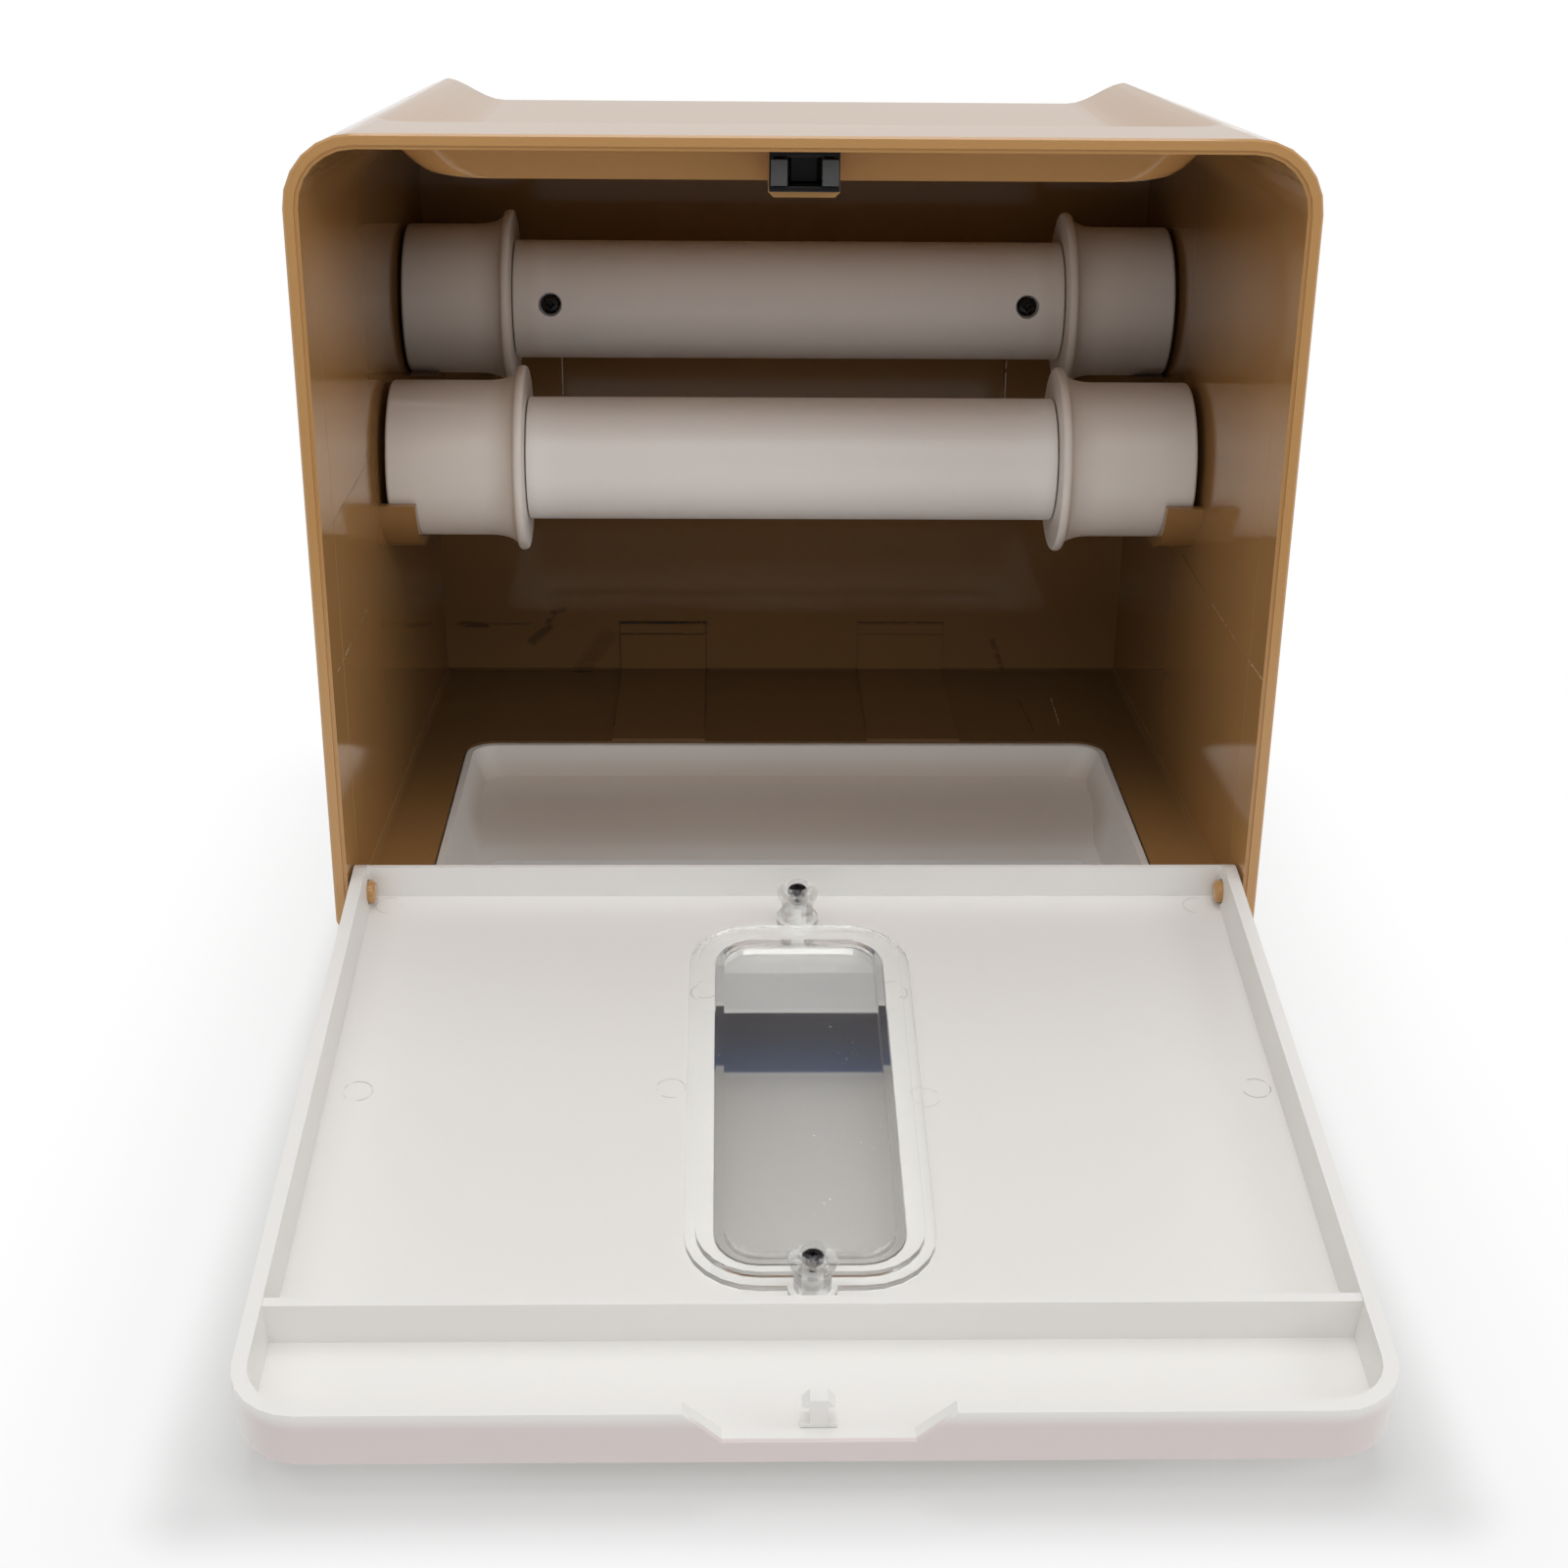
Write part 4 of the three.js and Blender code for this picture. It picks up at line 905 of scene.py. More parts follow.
# Modelling
class Bench:
    """Edit-mode helpers that stand in for a modeller's hands."""

    @staticmethod
    def clear_selection() -> None:
        """Leaves nothing selected and object mode on."""
        if bpy.context.object and bpy.context.object.mode != "OBJECT":
            bpy.ops.object.mode_set(mode="OBJECT")
        bpy.ops.object.select_all(action="DESELECT")

    @staticmethod
    def hold(piece: bpy.types.Object) -> None:
        """Makes one piece the only selected and the active one.

        Args:
            piece: The piece to hold.
        """
        Bench.clear_selection()
        piece.select_set(True)
        bpy.context.view_layer.objects.active = piece

    @staticmethod
    def apply(piece: bpy.types.Object, kind: str, **settings: Any) -> None:
        """Adds a modifier and applies it.

        Args:
            piece: The piece that takes it.
            kind: The modifier's type.
            **settings: The modifier's properties.
        """
        Bench.hold(piece)
        modifier = piece.modifiers.new(kind.lower(), kind)
        for key, value in settings.items():
            setattr(modifier, key, value)
        bpy.ops.object.modifier_apply(modifier=modifier.name)

    @staticmethod
    def smooth(piece: bpy.types.Object, degrees: float = SMOOTH_BELOW_DEGREES) -> None:
        """Shades by angle and keeps large flats flat.

        Args:
            piece: The piece to shade.
            degrees: Edges sharper than this stay sharp.
        """
        Bench.hold(piece)
        bpy.ops.object.shade_smooth_by_angle(angle=math.radians(degrees))
        Bench.apply(piece, "WEIGHTED_NORMAL", keep_sharp=True, weight=FLAT_FACE_WEIGHT)

    @staticmethod
    def shade_flats(piece: bpy.types.Object, degrees: float = SMOOTH_BELOW_DEGREES) -> None:
        """Shades a triangulated piece so that its wide flats stay flat beside their rounded edges.

        Each corner's normal is led by the widest flat in its smooth fan, and not by its own triangle.

        Args:
            piece: The piece to shade.
            degrees: Edges sharper than this stay sharp.
        """
        mesh = bmesh.new()
        mesh.from_mesh(piece.data)
        bend = {edge: edge.calc_face_angle(math.pi) for edge in mesh.edges}
        flat_of: dict[bmesh.types.BMFace, int] = {}
        area_of: list[float] = []
        for seed in mesh.faces:
            if seed in flat_of:
                continue
            flat_of[seed] = len(area_of)
            area_of.append(0.0)
            front = [seed]
            while front:
                face = front.pop()
                area_of[-1] += face.calc_area()
                for edge in face.edges:
                    if bend[edge] < math.radians(FLAT_BELOW_DEGREES):
                        for other in edge.link_faces:
                            if other not in flat_of:
                                flat_of[other] = flat_of[seed]
                                front.append(other)
        normals: list[Vector] = [Vector()] * len(piece.data.loops)
        for vertex in mesh.verts:
            waiting = {loop.face: loop.index for loop in vertex.link_loops}
            while waiting:
                fan = [next(iter(waiting))]
                corners = [waiting.pop(fan[0])]
                for face in fan:
                    for edge in face.edges:
                        if vertex in edge.verts and bend[edge] < math.radians(degrees):
                            for other in edge.link_faces:
                                if other in waiting:
                                    fan.append(other)
                                    corners.append(waiting.pop(other))
                flats = {flat_of[face]: face.normal for face in fan}
                normal = sum((area_of[flat] * way for flat, way in flats.items()), Vector()).normalized()
                for corner in corners:
                    normals[corner] = normal
        mesh.free()
        piece.data.shade_smooth()
        piece.data.normals_split_custom_set(normals)

    @staticmethod
    def finish(piece: bpy.types.Object, name: str, body: Body, slot: Slot, *nodes: str) -> bpy.types.Object:
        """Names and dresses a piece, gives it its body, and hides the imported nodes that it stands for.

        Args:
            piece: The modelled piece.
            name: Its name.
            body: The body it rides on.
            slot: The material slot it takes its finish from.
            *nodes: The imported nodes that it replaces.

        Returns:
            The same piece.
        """
        piece.name = name
        piece.data.name = name
        piece.data.materials.clear()
        piece.data.materials.append(FINISHES[slot])
        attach(piece, body.value)
        if nodes:
            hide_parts(*nodes)
        return piece

    @staticmethod
    def turned(stations: Sequence[Span], sides: int) -> bpy.types.Object:
        """Draws a ring out along X from station to station, as on a lathe.

        Args:
            stations: Pairs of place along X and radius, in millimetres. A radius of 0 closes an end,
                and a last pair equal to the first closes the section on itself.
            sides: Points round the ring.

        Returns:
            The turned body, about the X axis.
        """
        Bench.clear_selection()
        closed_loop = stations[0] == stations[-1]
        rings = list(stations) if closed_loop else [pair for pair in stations if pair[1] > 0]
        along, radius = rings[0]
        bpy.ops.mesh.primitive_circle_add(
            vertices=sides, radius=radius * MM,
            location=(along * MM, 0.0, 0.0), rotation=(0.0, math.pi / 2, 0.0),
        )
        piece = bpy.context.object
        bpy.ops.object.transform_apply(location=True, rotation=True, scale=True)
        bpy.ops.object.mode_set(mode="EDIT")
        bpy.ops.mesh.select_all(action="SELECT")
        capped_first = not closed_loop and stations[0][1] == 0
        capped_last = not closed_loop and stations[-1][1] == 0
        for place, width in rings[1:]:
            shift = ((place - along) * MM, 0.0, 0.0)
            bpy.ops.mesh.extrude_region_move(TRANSFORM_OT_translate={"value": shift})
            if width != radius:
                share = width / radius
                bpy.ops.transform.resize(value=(1.0, share, share), center_override=(place * MM, 0.0, 0.0))
            along, radius = place, width
        if capped_last:
            bpy.ops.mesh.edge_face_add()
        if capped_first:
            Bench.pick(piece, lambda spot: abs(spot.x - rings[0][0] * MM) < SAME_PLACE
                       and abs(math.hypot(spot.y, spot.z) - rings[0][1] * MM) < SAME_RADIUS)
            bpy.ops.mesh.edge_face_add()
        bpy.ops.mesh.select_all(action="SELECT")
        bpy.ops.mesh.remove_doubles(threshold=WELD)
        bpy.ops.mesh.normals_make_consistent(inside=False)
        bpy.ops.object.mode_set(mode="OBJECT")
        return piece

    @staticmethod
    def pick(piece: bpy.types.Object, wanted: Callable[[Vector], bool]) -> None:
        """Selects the points of the piece in edit mode whose place is wanted.

        Args:
            piece: The piece that is in edit mode.
            wanted: Tells from a point's place whether it is selected.
        """
        bpy.ops.mesh.select_mode(type="VERT")
        bpy.ops.mesh.select_all(action="DESELECT")
        bpy.ops.object.mode_set(mode="OBJECT")
        for vertex in piece.data.vertices:
            vertex.select = wanted(vertex.co)
        bpy.ops.object.mode_set(mode="EDIT")

    @staticmethod
    def drill(radius: float, across: float, low: float, high: float, sides: int = 40) -> bpy.types.Object:
        """Makes a drill bit that points along Y.

        Args:
            radius: Its radius, in millimetres.
            across: Its place along X.
            low: Where it starts along Y.
            high: Where it ends.
            sides: Points round it.

        Returns:
            The cutter.
        """
        Bench.clear_selection()
        bpy.ops.mesh.primitive_cylinder_add(
            vertices=sides, radius=radius * MM, depth=(high - low) * MM,
            location=(across * MM, (low + high) / 2 * MM, 0.0), rotation=(math.pi / 2, 0.0, 0.0),
        )
        bpy.ops.object.transform_apply(location=True, rotation=True, scale=True)
        return bpy.context.object

    @staticmethod
    def carve(piece: bpy.types.Object, *cutters: bpy.types.Object) -> None:
        """Takes each cutter's shape out of a piece and removes the cutters.

        Args:
            piece: The piece that is cut.
            *cutters: The shapes that come out of it.
        """
        for cutter in cutters:
            Bench.apply(piece, "BOOLEAN", operation="DIFFERENCE", solver="EXACT", object=cutter)
            bpy.data.objects.remove(cutter, do_unlink=True)

    @staticmethod
    def place(piece: bpy.types.Object, turn: Matrix, spot: Vector) -> None:
        """Turns and moves a piece, and writes its place into its mesh.

        Args:
            piece: The piece, modelled about the origin.
            turn: Its rotation.
            spot: Where its origin goes, in metres.
        """
        Bench.hold(piece)
        piece.matrix_world = Matrix.Translation(spot) @ turn.to_4x4()
        bpy.ops.object.transform_apply(location=True, rotation=True, scale=True)

    @staticmethod
    def flip(piece: bpy.types.Object) -> None:
        """Mirrors a piece left to right and turns its faces outward again.

        Args:
            piece: The piece to mirror.
        """
        Bench.hold(piece)
        bpy.ops.object.mode_set(mode="EDIT")
        bpy.ops.mesh.select_all(action="SELECT")
        bpy.ops.transform.mirror(constraint_axis=(True, False, False), center_override=(0.0, 0.0, 0.0))
        bpy.ops.mesh.normals_make_consistent(inside=False)
        bpy.ops.object.mode_set(mode="OBJECT")

    @staticmethod
    def twin(piece: bpy.types.Object) -> bpy.types.Object:
        """Copies a piece together with its mesh.

        Args:
            piece: The piece to copy.

        Returns:
            The copy.
        """
        copy = bpy.data.objects.new(piece.name, piece.data.copy())
        bpy.context.scene.collection.objects.link(copy)
        return copy


@dataclass
class Fastener:
    """A blackened pan-head screw with a cross recess, its head turned up along X from the origin.

    Its sizes are in millimetres, and a share is of the size that it is named for. The edge is in metres.
    """

    head: float
    head_height: float
    shank: float
    length: float
    turns: int = 5
    tip_share: float = 0.25
    root_share: float = 0.78
    under_rim_share: float = 0.97
    under_chamfer_share: float = 0.12
    straight_share: float = 0.45
    dome_degrees: float = 72.0
    dome_steps: int = 4
    blade_depth_share: float = 0.7
    blade_width_shares: Span = (0.56, 0.15)
    blade_taper_shares: Span = (0.45, 0.7)
    edge: float = 0.00006
    edge_steps: int = 2
    edge_degrees: float = 50.0
    smooth_degrees: float = 38.0
    sides: int = 32

    def model(self) -> bpy.types.Object:
        """Turns the screw and cuts its recess.

        Returns:
            The screw about the X axis, its head's seat at the origin and its head at +X.
        """
        rim, crown, core = self.head / 2, self.head_height, self.shank / 2
        stations = [(-self.length, 0.0), (-self.length, core * self.tip_share)]
        pitch = (self.length - core) / self.turns
        for turn in range(self.turns):
            start = -self.length + core + turn * pitch
            stations += [(start, core * self.root_share), (start + pitch / 2, core)]
        stations += [(0.0, core), (0.0, rim * self.under_rim_share), (crown * self.under_chamfer_share, rim)]
        stations.append((crown * self.straight_share, rim))
        dome = math.radians(self.dome_degrees)
        for step in range(1, self.dome_steps + 1):
            angle = dome * step / self.dome_steps
            lift = self.straight_share + (1 - self.straight_share) * math.sin(angle) / math.sin(dome)
            stations.append((crown * lift, rim * math.cos(angle)))
        stations.append((crown, 0.0))
        screw = Bench.turned(stations, self.sides)
        Bench.carve(screw, *(self._blade(angle) for angle in (0.0, math.pi / 2)))
        sharp = math.radians(self.edge_degrees)
        Bench.apply(
            screw, "BEVEL", width=self.edge, segments=self.edge_steps,
            limit_method="ANGLE", angle_limit=sharp,
        )
        Bench.smooth(screw, self.smooth_degrees)
        return screw

    def _blade(self, angle: float) -> bpy.types.Object:
        """Shapes one tapered blade of the cross recess.

        Args:
            angle: Turn about the screw's axis.

        Returns:
            The cutter.
        """
        Bench.clear_selection()
        crown = self.head_height * MM
        depth = crown * self.blade_depth_share
        bpy.ops.mesh.primitive_cube_add(size=1.0, location=(crown, 0.0, 0.0))
        blade = bpy.context.object
        blade.scale = (2 * depth, *(self.head * share * MM for share in self.blade_width_shares))
        bpy.ops.object.transform_apply(location=True, rotation=True, scale=True)
        bpy.ops.object.mode_set(mode="EDIT")
        Bench.pick(blade, lambda spot: spot.x < crown)
        taper = (1.0, *self.blade_taper_shares)
        bpy.ops.transform.resize(value=taper, center_override=(crown - depth, 0.0, 0.0))
        bpy.ops.object.mode_set(mode="OBJECT")
        Bench.place(blade, Matrix.Rotation(angle, 3, "X"), Vector())
        return blade


TUBE_SCREW = Fastener(head=5.2, head_height=1.8, shank=1.8, length=3.0, turns=3)
BASE_SCREW = Fastener(head=6.4, head_height=2.0, shank=2.3, length=9.0, turns=6)
WINDOW_SCREW = Fastener(head=4.4, head_height=1.7, shank=1.3, length=6.0, turns=6)


@dataclass
class Spindle:
    """One roll spindle: a tube between two flanged caps, with a screw through each end of the tube.

    Its sizes are in millimetres. Each pair of end_round is an inset from the cap's end and a drop
    from the hub's radius, and drilled_shares are of the tube's radius.
    """

    label: str
    body: Body
    back: float
    drop: float
    flange_half: float
    screw_degrees: float
    cap_end: float = 101.78
    cap_wall: float = 2.2
    end_round: tuple[Span, ...] = ((0.9, 0.0), (0.55, 0.08), (0.25, 0.3), (0.06, 0.65), (0.0, 1.0))
    tube_radius: float = 15.55
    tube_wall: float = 2.2
    tube_ease: float = 0.4
    ease_share: float = 0.3
    hub_radius: float = 19.7
    flange_radius: float = 23.5
    flange_thickness: float = 2.4
    flange_round: float = 0.8
    flange_steps: int = 6
    cove: float = 7.5
    cove_steps: int = 9
    gap: float = 0.3
    sleeve_length: float = 17.0
    sleeve_wall: float = 2.0
    screw_inset: float = 10.2
    screw_hole: float = 6.2
    screw_pilot: float = 2.5
    drilled_shares: Span = (0.5, 1.5)
    tube_smooth_degrees: float = 30.0
    cap_smooth_degrees: float = 40.0
    sides: int = 72

    def build(self) -> list[bpy.types.Object]:
        """Models, places and dresses the spindle's five pieces.

        Returns:
            The tube, the caps and the screws.
        """
        made = [self._dressed(self._tube(), "roll_tube", Slot.SPINDLE, "tube")]
        cap = self._cap()
        screw = TUBE_SCREW.model()
        seat = self.tube_radius - self.tube_wall
        for side, sign in (("left", -1), ("right", 1)):
            end_cap = Bench.twin(cap)
            if sign < 0:
                Bench.flip(end_cap)
            made.append(self._dressed(end_cap, f"end_cap_{side}", Slot.SPINDLE, f"cap_{side}"))
            fastener = Bench.twin(screw)
            across = sign * (self.flange_half - self.screw_inset)
            Bench.place(fastener, Matrix.Rotation(math.pi / 2, 3, "Z"), Vector((across * MM, seat * MM, 0.0)))
            made.append(self._dressed(fastener, f"tube_screw_{side}", Slot.SCREW, f"screw_{side}"))
        for leftover in (cap, screw):
            bpy.data.objects.remove(leftover, do_unlink=True)
        turn = Matrix.Rotation(math.radians(self.screw_degrees), 3, "X")
        for piece in made:
            Bench.place(piece, turn, DATUM.point(0.0, self.back, -self.drop))
        return made

    def _dressed(self, piece: bpy.types.Object, name: str, slot: Slot, node: str) -> bpy.types.Object:
        """Finishes one piece under this spindle's label."""
        return Bench.finish(piece, f"{self.label}_{name}", self.body, slot, f"{self.label}_{node}")

    def _tube(self) -> bpy.types.Object:
        """Turns the tube and drills its two screw holes.

        Returns:
            The tube about the X axis.
        """
        half = self.flange_half - self.gap
        outer, inner = self.tube_radius, self.tube_radius - self.tube_wall
        ease, part = self.tube_ease, self.tube_ease * self.ease_share
        section = [
            (-half, inner), (-half, outer - ease), (-half + part, outer - part), (-half + ease, outer),
            (half - ease, outer), (half - part, outer - part), (half, outer - ease), (half, inner),
            (-half, inner),
        ]
        tube = Bench.turned(section, self.sides)
        low, high = (outer * share for share in self.drilled_shares)
        for sign in (-1, 1):
            across = sign * (self.flange_half - self.screw_inset)
            Bench.carve(tube, Bench.drill(self.screw_hole / 2, across, low, high))
        Bench.smooth(tube, self.tube_smooth_degrees)
        return tube

    def _cap(self) -> bpy.types.Object:
        """Turns the right-hand cap: sleeve, flange, cove and hub.

        Returns:
            The cap about the X axis.
        """
        end, face, hub = self.cap_end, self.flange_half, self.hub_radius
        sleeve = self.tube_radius - self.tube_wall - self.gap
        bore, sleeve_end = sleeve - self.sleeve_wall, face - self.sleeve_length
        hollow, hub_bore = end - self.cap_wall, hub - self.cap_wall
        rim, round_off = self.flange_radius - self.flange_round, self.flange_round
        rim_top, half = face + self.flange_thickness, self.flange_thickness / 2
        section = [(hollow, 0.0), (hollow, hub_bore), (rim_top + self.cove, hub_bore), (rim_top, bore)]
        section += [(sleeve_end, bore), (sleeve_end, sleeve), (face, sleeve), (face, rim)]
        for step in range(1, self.flange_steps + 1):
            angle = step / self.flange_steps * math.pi
            section.append((face + half * (1 - math.cos(angle)), rim + round_off * math.sin(angle)))
        for step in range(1, self.cove_steps + 1):
            angle = step / self.cove_steps * math.pi / 2
            radius = hub + (rim - hub) * (1 - math.sin(angle))
            section.append((rim_top + self.cove * (1 - math.cos(angle)), radius))
        section += [(end - inset, hub - drop) for inset, drop in self.end_round]
        section.append((end, 0.0))
        cap = Bench.turned(section, self.sides)
        pilot = Bench.drill(self.screw_pilot / 2, face - self.screw_inset, sleeve / 2, self.tube_radius)
        Bench.carve(cap, pilot)
        Bench.smooth(cap, self.cap_smooth_degrees)
        return cap


@dataclass
class Refined:
    """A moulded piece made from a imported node's own surface, with its edges eased, sizes in metres."""

    name: str
    node: str
    body: Body
    slot: Slot
    edge: float = 0.0003
    edge_steps: int = 2
    edge_degrees: float = 35.0
    weld: float = 1e-6
    flat_degrees: float = 0.4
    dissolve: bool = True

    def build(self) -> bpy.types.Object:
        """Copies, cleans, eases and dresses the piece.

        Returns:
            The finished piece.
        """
        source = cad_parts[self.node]
        piece = bpy.data.objects.new(self.name, source.data.copy())
        piece.data.name = self.name
        bpy.context.scene.collection.objects.link(piece)
        Bench.hold(piece)
        bpy.ops.object.mode_set(mode="EDIT")
        bpy.ops.mesh.select_all(action="SELECT")
        bpy.ops.mesh.remove_doubles(threshold=self.weld)
        if self.dissolve:
            bpy.ops.mesh.dissolve_limited(angle_limit=math.radians(self.flat_degrees))
        bpy.ops.object.mode_set(mode="OBJECT")
        if self.edge:
            Bench.apply(
                piece, "BEVEL", width=self.edge, segments=self.edge_steps,
                limit_method="ANGLE", angle_limit=math.radians(self.edge_degrees), use_clamp_overlap=True,
            )
        if self.dissolve:
            Bench.smooth(piece)
        else:
            Bench.shade_flats(piece)
        return Bench.finish(piece, self.name, self.body, self.slot, self.node)


@dataclass
class PushedSpring(Refined):
    """A coil that its joint's push shortens towards its back end; here it is copied and eased like the other
    refined pieces, and the share of its length that it would keep is only logged.
    """

    joint: str = "catch_push"
    stroke: float = 0.0025

    def build(self) -> bpy.types.Object:
        """Makes the coil and logs the share of its length that it would keep.

        Returns:
            The finished coil.
        """
        piece = super().build()
        low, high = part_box(self.node)
        kept = 1 - self.stroke / (high[1] - low[1])
        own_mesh(piece)
        LOG.info("%s keeps %.3f of its length", piece.name, kept)
        return piece


@dataclass(frozen=True)
class Screws:
    """Equal screws that hold the base or the window, with the place of each by its node."""

    kind: Fastener
    body: Body
    head_way: Vector
    spots: Mapping[str, Vector]

    def build(self) -> list[bpy.types.Object]:
        """Models the screw once, and seats and dresses a copy of it at each place.

        Returns:
            The finished screws.
        """
        pattern = self.kind.model()
        turn = Vector((1.0, 0.0, 0.0)).rotation_difference(self.head_way).to_matrix()
        made = []
        for node, spot in self.spots.items():
            screw = Bench.twin(pattern)
            Bench.place(screw, turn, spot)
            made.append(Bench.finish(screw, f"{node}_cross_head", self.body, Slot.SCREW, node))
        bpy.data.objects.remove(pattern, do_unlink=True)
        return made


# The studio
@dataclass
class PhotoCamera:
    """The photograph's camera, found from the case's own edges."""

    across: float = -16.63
    back: float = -528.4
    height: float = 64.86
    down_degrees: float = 21.67
    turn_degrees: float = 1.439
    roll_degrees: float = 0.552
    focal_pixels: float = 2526.3
    image_pixels: float = 1601.0
    sensor_mm: float = 36.0
    sees: Span = (0.01, 20.0)

    def build(self) -> bpy.types.Object:
        """Makes the camera and gives it to the scene.

        Returns:
            The camera object.
        """
        angles = (self.down_degrees, self.turn_degrees, self.roll_degrees)
        down, turn, roll = (math.radians(angle) for angle in angles)
        ahead = Vector((math.sin(turn) * math.cos(down), math.cos(turn) * math.cos(down), -math.sin(down)))
        level = Vector((math.cos(turn), -math.sin(turn), 0.0))
        upright = level.cross(ahead)
        right = level * math.cos(roll) + upright * math.sin(roll)
        up = upright * math.cos(roll) - level * math.sin(roll)
        lens = bpy.data.cameras.new("photo_camera")
        lens.sensor_width = self.sensor_mm
        lens.lens = self.focal_pixels / self.image_pixels * self.sensor_mm
        lens.clip_start, lens.clip_end = self.sees
        camera = bpy.data.objects.new("photo_camera", lens)
        spot = Matrix.Translation(DATUM.point(self.across, self.back, self.height))
        camera.matrix_world = spot @ Matrix((right, up, -ahead)).transposed().to_4x4()
        bpy.context.scene.collection.objects.link(camera)
        bpy.context.scene.camera = camera
        return camera


@dataclass(frozen=True)
class Softbox:
    """One rectangular studio lamp, pointed at the middle of the product, with sizes in metres."""

    name: str
    place: Place
    watts: float
    aim: Place = (0.0, 0.0, 0.15)
    width: float = 0.9
    height: float = 0.7

    def build(self) -> bpy.types.Object:
        """Hangs the lamp and points it at its aim.

        Returns:
            The lamp object.
        """
        lamp = bpy.data.lights.new(self.name, "AREA")
        lamp.shape = "RECTANGLE"
        lamp.size, lamp.size_y = self.width, self.height
        lamp.energy = self.watts
        holder = bpy.data.objects.new(self.name, lamp)
        holder.location = self.place
        holder.rotation_mode = "QUATERNION"
        holder.rotation_quaternion = (Vector(self.aim) - Vector(self.place)).to_track_quat("-Z", "Y")
        bpy.context.scene.collection.objects.link(holder)
        return holder


@dataclass
class Studio:
    """The pale floor, the white surround and the soft lamps, with sizes in metres."""

    floor_size: float = 16.0
    floor_colour: Colour = (0.8, 0.8, 0.8)
    floor_roughness: float = 0.9
    # Dark blue painted shade on the floor inside the base's skirt.
    under_base_painted_shade: Colour = (0.03, 0.11, 0.27)
    under_base_before: float = 0.001
    under_base_fade: Span = (-0.0008, 0.0008)
    under_base_inset: float = 0.006
    # Grey painted shade on the floor that the window shows.
    under_window_painted_shade: Colour = (0.6, 0.59, 0.575)
    under_window_half: float = 0.075
    under_window_fade: Span = (0.0, 0.03)
    edge_fade: Span = (0.0, 0.004)
    floor_fades: tuple[Span, ...] = ((0.018, 0.7), (0.07, 0.27))
    lift_under_door: float = 0.03
    card_under_door: float = 0.6
    card_fade: Span = (0.02, 0.0)
    surround_colour: Colour = (1.0, 1.0, 1.0)
    surround_strength: float = 0.48
    surround_in_gloss: float = 0.8
    room_in_gloss: float = 0.15
    room_in_sky: Span = (-0.2, -0.7)
    room_on_floor: Span = (-0.02, -0.3)
    lamps: tuple[Softbox, ...] = (
        Softbox("top_lamp", (0.0, -0.49, 1.99), 4.0),
        Softbox("back_lamp", (0.0, 0.17, 2.04), 5.0),
        Softbox("left_lamp", (-1.06, -0.61, 1.6), 3.0),
        Softbox("right_lamp", (1.49, -0.86, 0.95), 5.0),
        Softbox("front_lamp", (0.0, -1.6, 1.45), 5.0),
    )

    def build(self) -> None:
        """Makes everything that isn't the product."""
        self._surround()
        self._floor()
        for lamp in self.lamps:
            lamp.build()
        bpy.context.scene.view_settings.view_transform = "Standard"

    def _surround(self) -> None:
        """Lights softly from all round and shows white to the camera and through glass.

        Gloss that looks forward finds a darker room there, as in the photograph.
        """
        paint = SkyPaint("white_surround")
        seen = paint.ray("Is Camera Ray").maximum(paint.ray("Is Transmission Ray"))
        gloss = paint.ray("Is Glossy Ray")
        room = paint.axis("Y").step(*self.room_in_sky)
        mirrored = (1 - room * (1 - self.room_in_gloss)) * self.surround_in_gloss
        other = gloss * mirrored + (1 - gloss) * self.surround_strength
        paint.feed("Color", self.surround_colour)
        paint.feed("Strength", seen + (1 - seen) * other)

    def _floor(self) -> None:
        """Lays the floor, which shows almost white and keeps the product's shadow, with painted shade under
        the window and inside the base's skirt.
        """
        Bench.clear_selection()
        bpy.ops.mesh.primitive_plane_add(size=self.floor_size, location=(0.0, 0.0, 0.0))
        floor = bpy.context.object
        floor.name = "studio_floor"
        paint = Paint("studio_floor")
        across, back = paint.axis("X").size(), paint.axis("Y")
        under_base = self._under_base(across, back)
        # Painted shade on the floor under the window and inside the base's skirt.
        shaded = paint.mix(self._under_window(across, back), self.floor_colour, self.under_window_painted_shade)
        paint.feed("Base Color", paint.mix(under_base, shaded, self.under_base_painted_shade))
        paint.feed("Roughness", self.floor_roughness)
        paint.feed("Specular IOR Level", 0.0)
        away = self._away(across, back)
        lit = (1 - under_base) * self.lift_under_door
        for reach, share in self.floor_fades:
            lit = lit + away.step(0.0, reach) * share
        seen = paint.ray("Is Camera Ray").maximum(paint.ray("Is Transmission Ray"))
        gloss = paint.ray("Is Glossy Ray")
        room = gloss * (1 - seen) * (back - CAD_BOUNDS[0][1]).step(*self.room_on_floor)
        card = paint.ray("Is Diffuse Ray") * (1 - under_base) * away.step(*self.card_fade)
        amount = seen.maximum(gloss) * lit.maximum(room) + card * self.card_under_door
        glow = {"Color": 1 - room * (1 - self.room_in_gloss), "Strength": 1.0}
        lift = paint.node("ShaderNodeEmission", None, glow)
        body = Signal(paint, paint.shader.outputs["BSDF"])
        mixed = paint.node("ShaderNodeMixShader", None, {0: amount, 1: body, 2: lift})
        paint.tree.links.new(mixed.socket, paint.output.inputs["Surface"])
        floor.data.materials.append(paint.material)

    def _under_base(self, across: Signal, back: Signal) -> Signal:
        """Masks the floor inside the base's skirt, which gets a dark blue painted shade that shows through
        the window.

        Args:
            across: Distance from the middle, in metres.
            back: Place along Y, in metres.

        Returns:
            The mask, 0 to 1.
        """
        side, rear = (edge - self.under_base_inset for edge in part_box("outlet_base")[1][:2])
        front = (back - (DATUM.front - self.under_base_before)).step(*self.under_base_fade)
        return front * (side - across).step(*self.edge_fade) * (rear - back).step(*self.edge_fade)

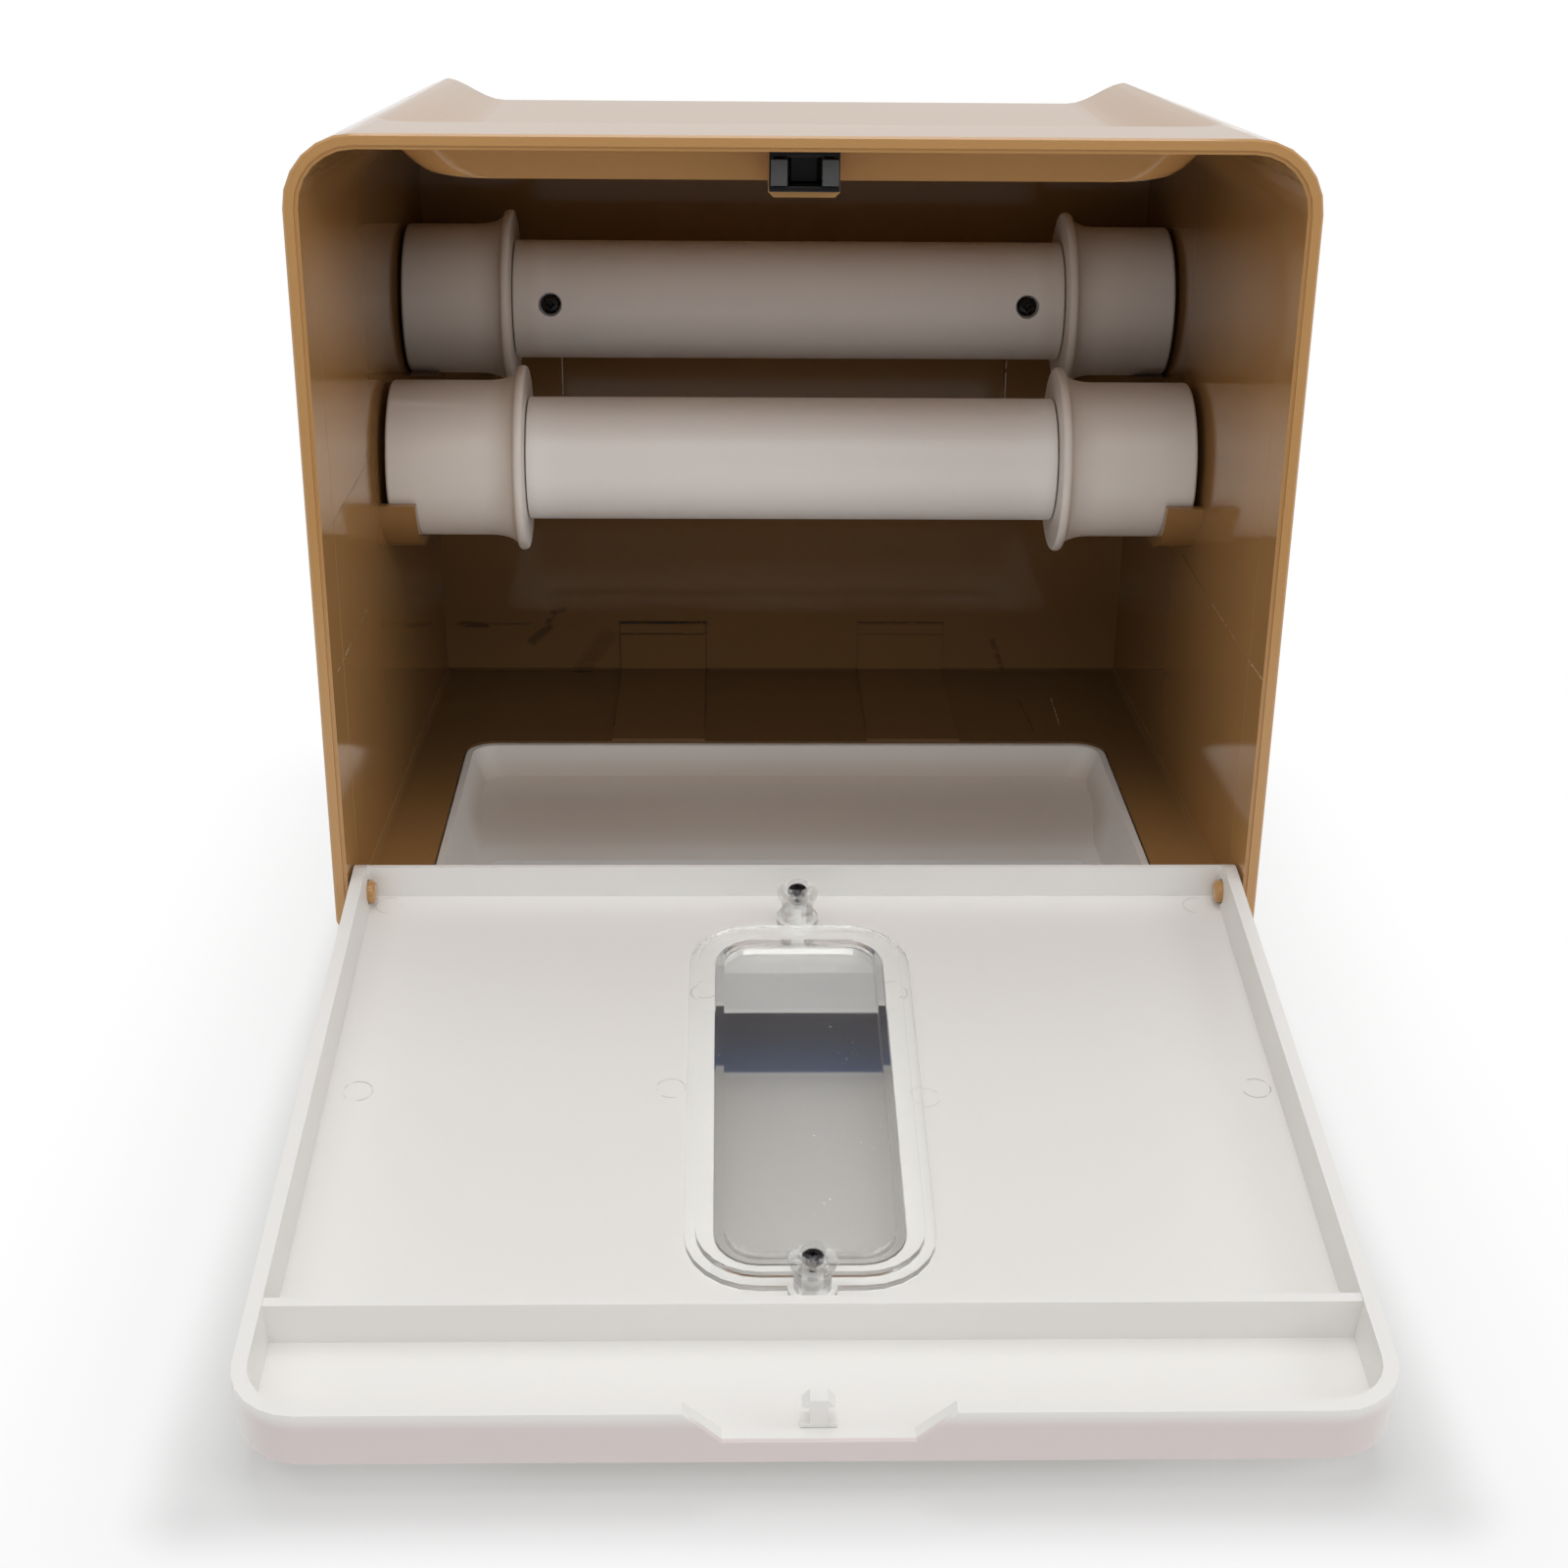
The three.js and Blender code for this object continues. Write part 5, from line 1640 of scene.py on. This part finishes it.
    def _under_window(self, across: Signal, back: Signal) -> Signal:
        """Masks the floor that the window shows in front of the base, which gets a grey painted shade.

        Args:
            across: Distance from the middle, in metres.
            back: Place along Y, in metres.

        Returns:
            The mask, 0 to 1.
        """
        middle = (self.under_window_half - across).step(*self.under_window_fade)
        ahead = (DATUM.front - back).step(*self.edge_fade)
        return middle * ahead * (back - CAD_BOUNDS[0][1]).step(*self.under_window_fade)

    def _away(self, across: Signal, back: Signal) -> Signal:
        """Gives the distance outside the product's outline on the floor.

        Args:
            across: Distance from the middle, in metres.
            back: Place along Y, in metres.

        Returns:
            The distance, in metres.
        """
        low, high = CAD_BOUNDS
        beside = (across - high[0]).maximum(0.0)
        middle, half = (low[1] + high[1]) / 2, (high[1] - low[1]) / 2
        before = ((back - middle).size() - half).maximum(0.0)
        return (beside * beside + before * before) ** 0.5


# The product's pieces
REFINED = (
    Refined("case_moulding", "case_shell", Body.CASE, Slot.CASE, edge=0.0, dissolve=False),
    Refined("base_moulding", "outlet_base", Body.CASE, Slot.WHITE),
    Refined("door_moulding", "door_panel", Body.DOOR, Slot.WHITE),
    Refined("window_moulding", "window", Body.DOOR, Slot.WINDOW, edge=0.0002),
    Refined("catch_body", "catch_housing", Body.CASE, Slot.CATCH, edge=0.0002),
    Refined("catch_nose", "catch_plunger", Body.PLUNGER, Slot.CATCH, edge=0.00015),
    Refined("catch_arm_left", "catch_jaw_left", Body.JAW_LEFT, Slot.JAW, edge=0.00015),
    Refined("catch_arm_right", "catch_jaw_right", Body.JAW_RIGHT, Slot.JAW, edge=0.00015),
    PushedSpring("catch_coil", "catch_spring", Body.CASE, Slot.SPRING, edge=0.0, dissolve=False),
)
SPINDLES = (
    Spindle("upper", Body.UPPER_SPINDLE, back=141.1, drop=60.5, flange_half=73.3, screw_degrees=175.0),
    Spindle("lower", Body.LOWER_SPINDLE, back=95.2, drop=92.7, flange_half=67.4, screw_degrees=48.0),
)
BASE_SCREW_HEAD_DROP = 192.6
BASE_SCREWS = Screws(BASE_SCREW, Body.CASE, Vector((0.0, 0.0, -1.0)), {
    f"base_screw_{end}_{side}": DATUM.point(sign * across, back, -BASE_SCREW_HEAD_DROP)
    for end, across, back in (("front", 96.475, 37.0), ("back", 93.65, 150.0))
    for side, sign in (("left", -1), ("right", 1))
})
WINDOW_SCREW_LIFT = 11.4
WINDOW_SCREWS = Screws(WINDOW_SCREW, Body.DOOR, DOOR.upright(), {
    f"window_screw_{end}": DOOR.point(0.0, reach, WINDOW_SCREW_LIFT)
    for end, reach in (("hinge", 7.4), ("free", 130.4))
})


def main() -> None:
    """Builds the studio and every piece."""
    logging.basicConfig(level=logging.INFO, format="%(message)s")
    PhotoCamera().build()
    Studio().build()
    made = [piece.build() for piece in REFINED]
    for group in (BASE_SCREWS, WINDOW_SCREWS, *SPINDLES):
        made += group.build()
    for piece in made:
        LOG.info("%s: %d faces", piece.name, len(piece.data.polygons))


if __name__ == "__main__":
    main()
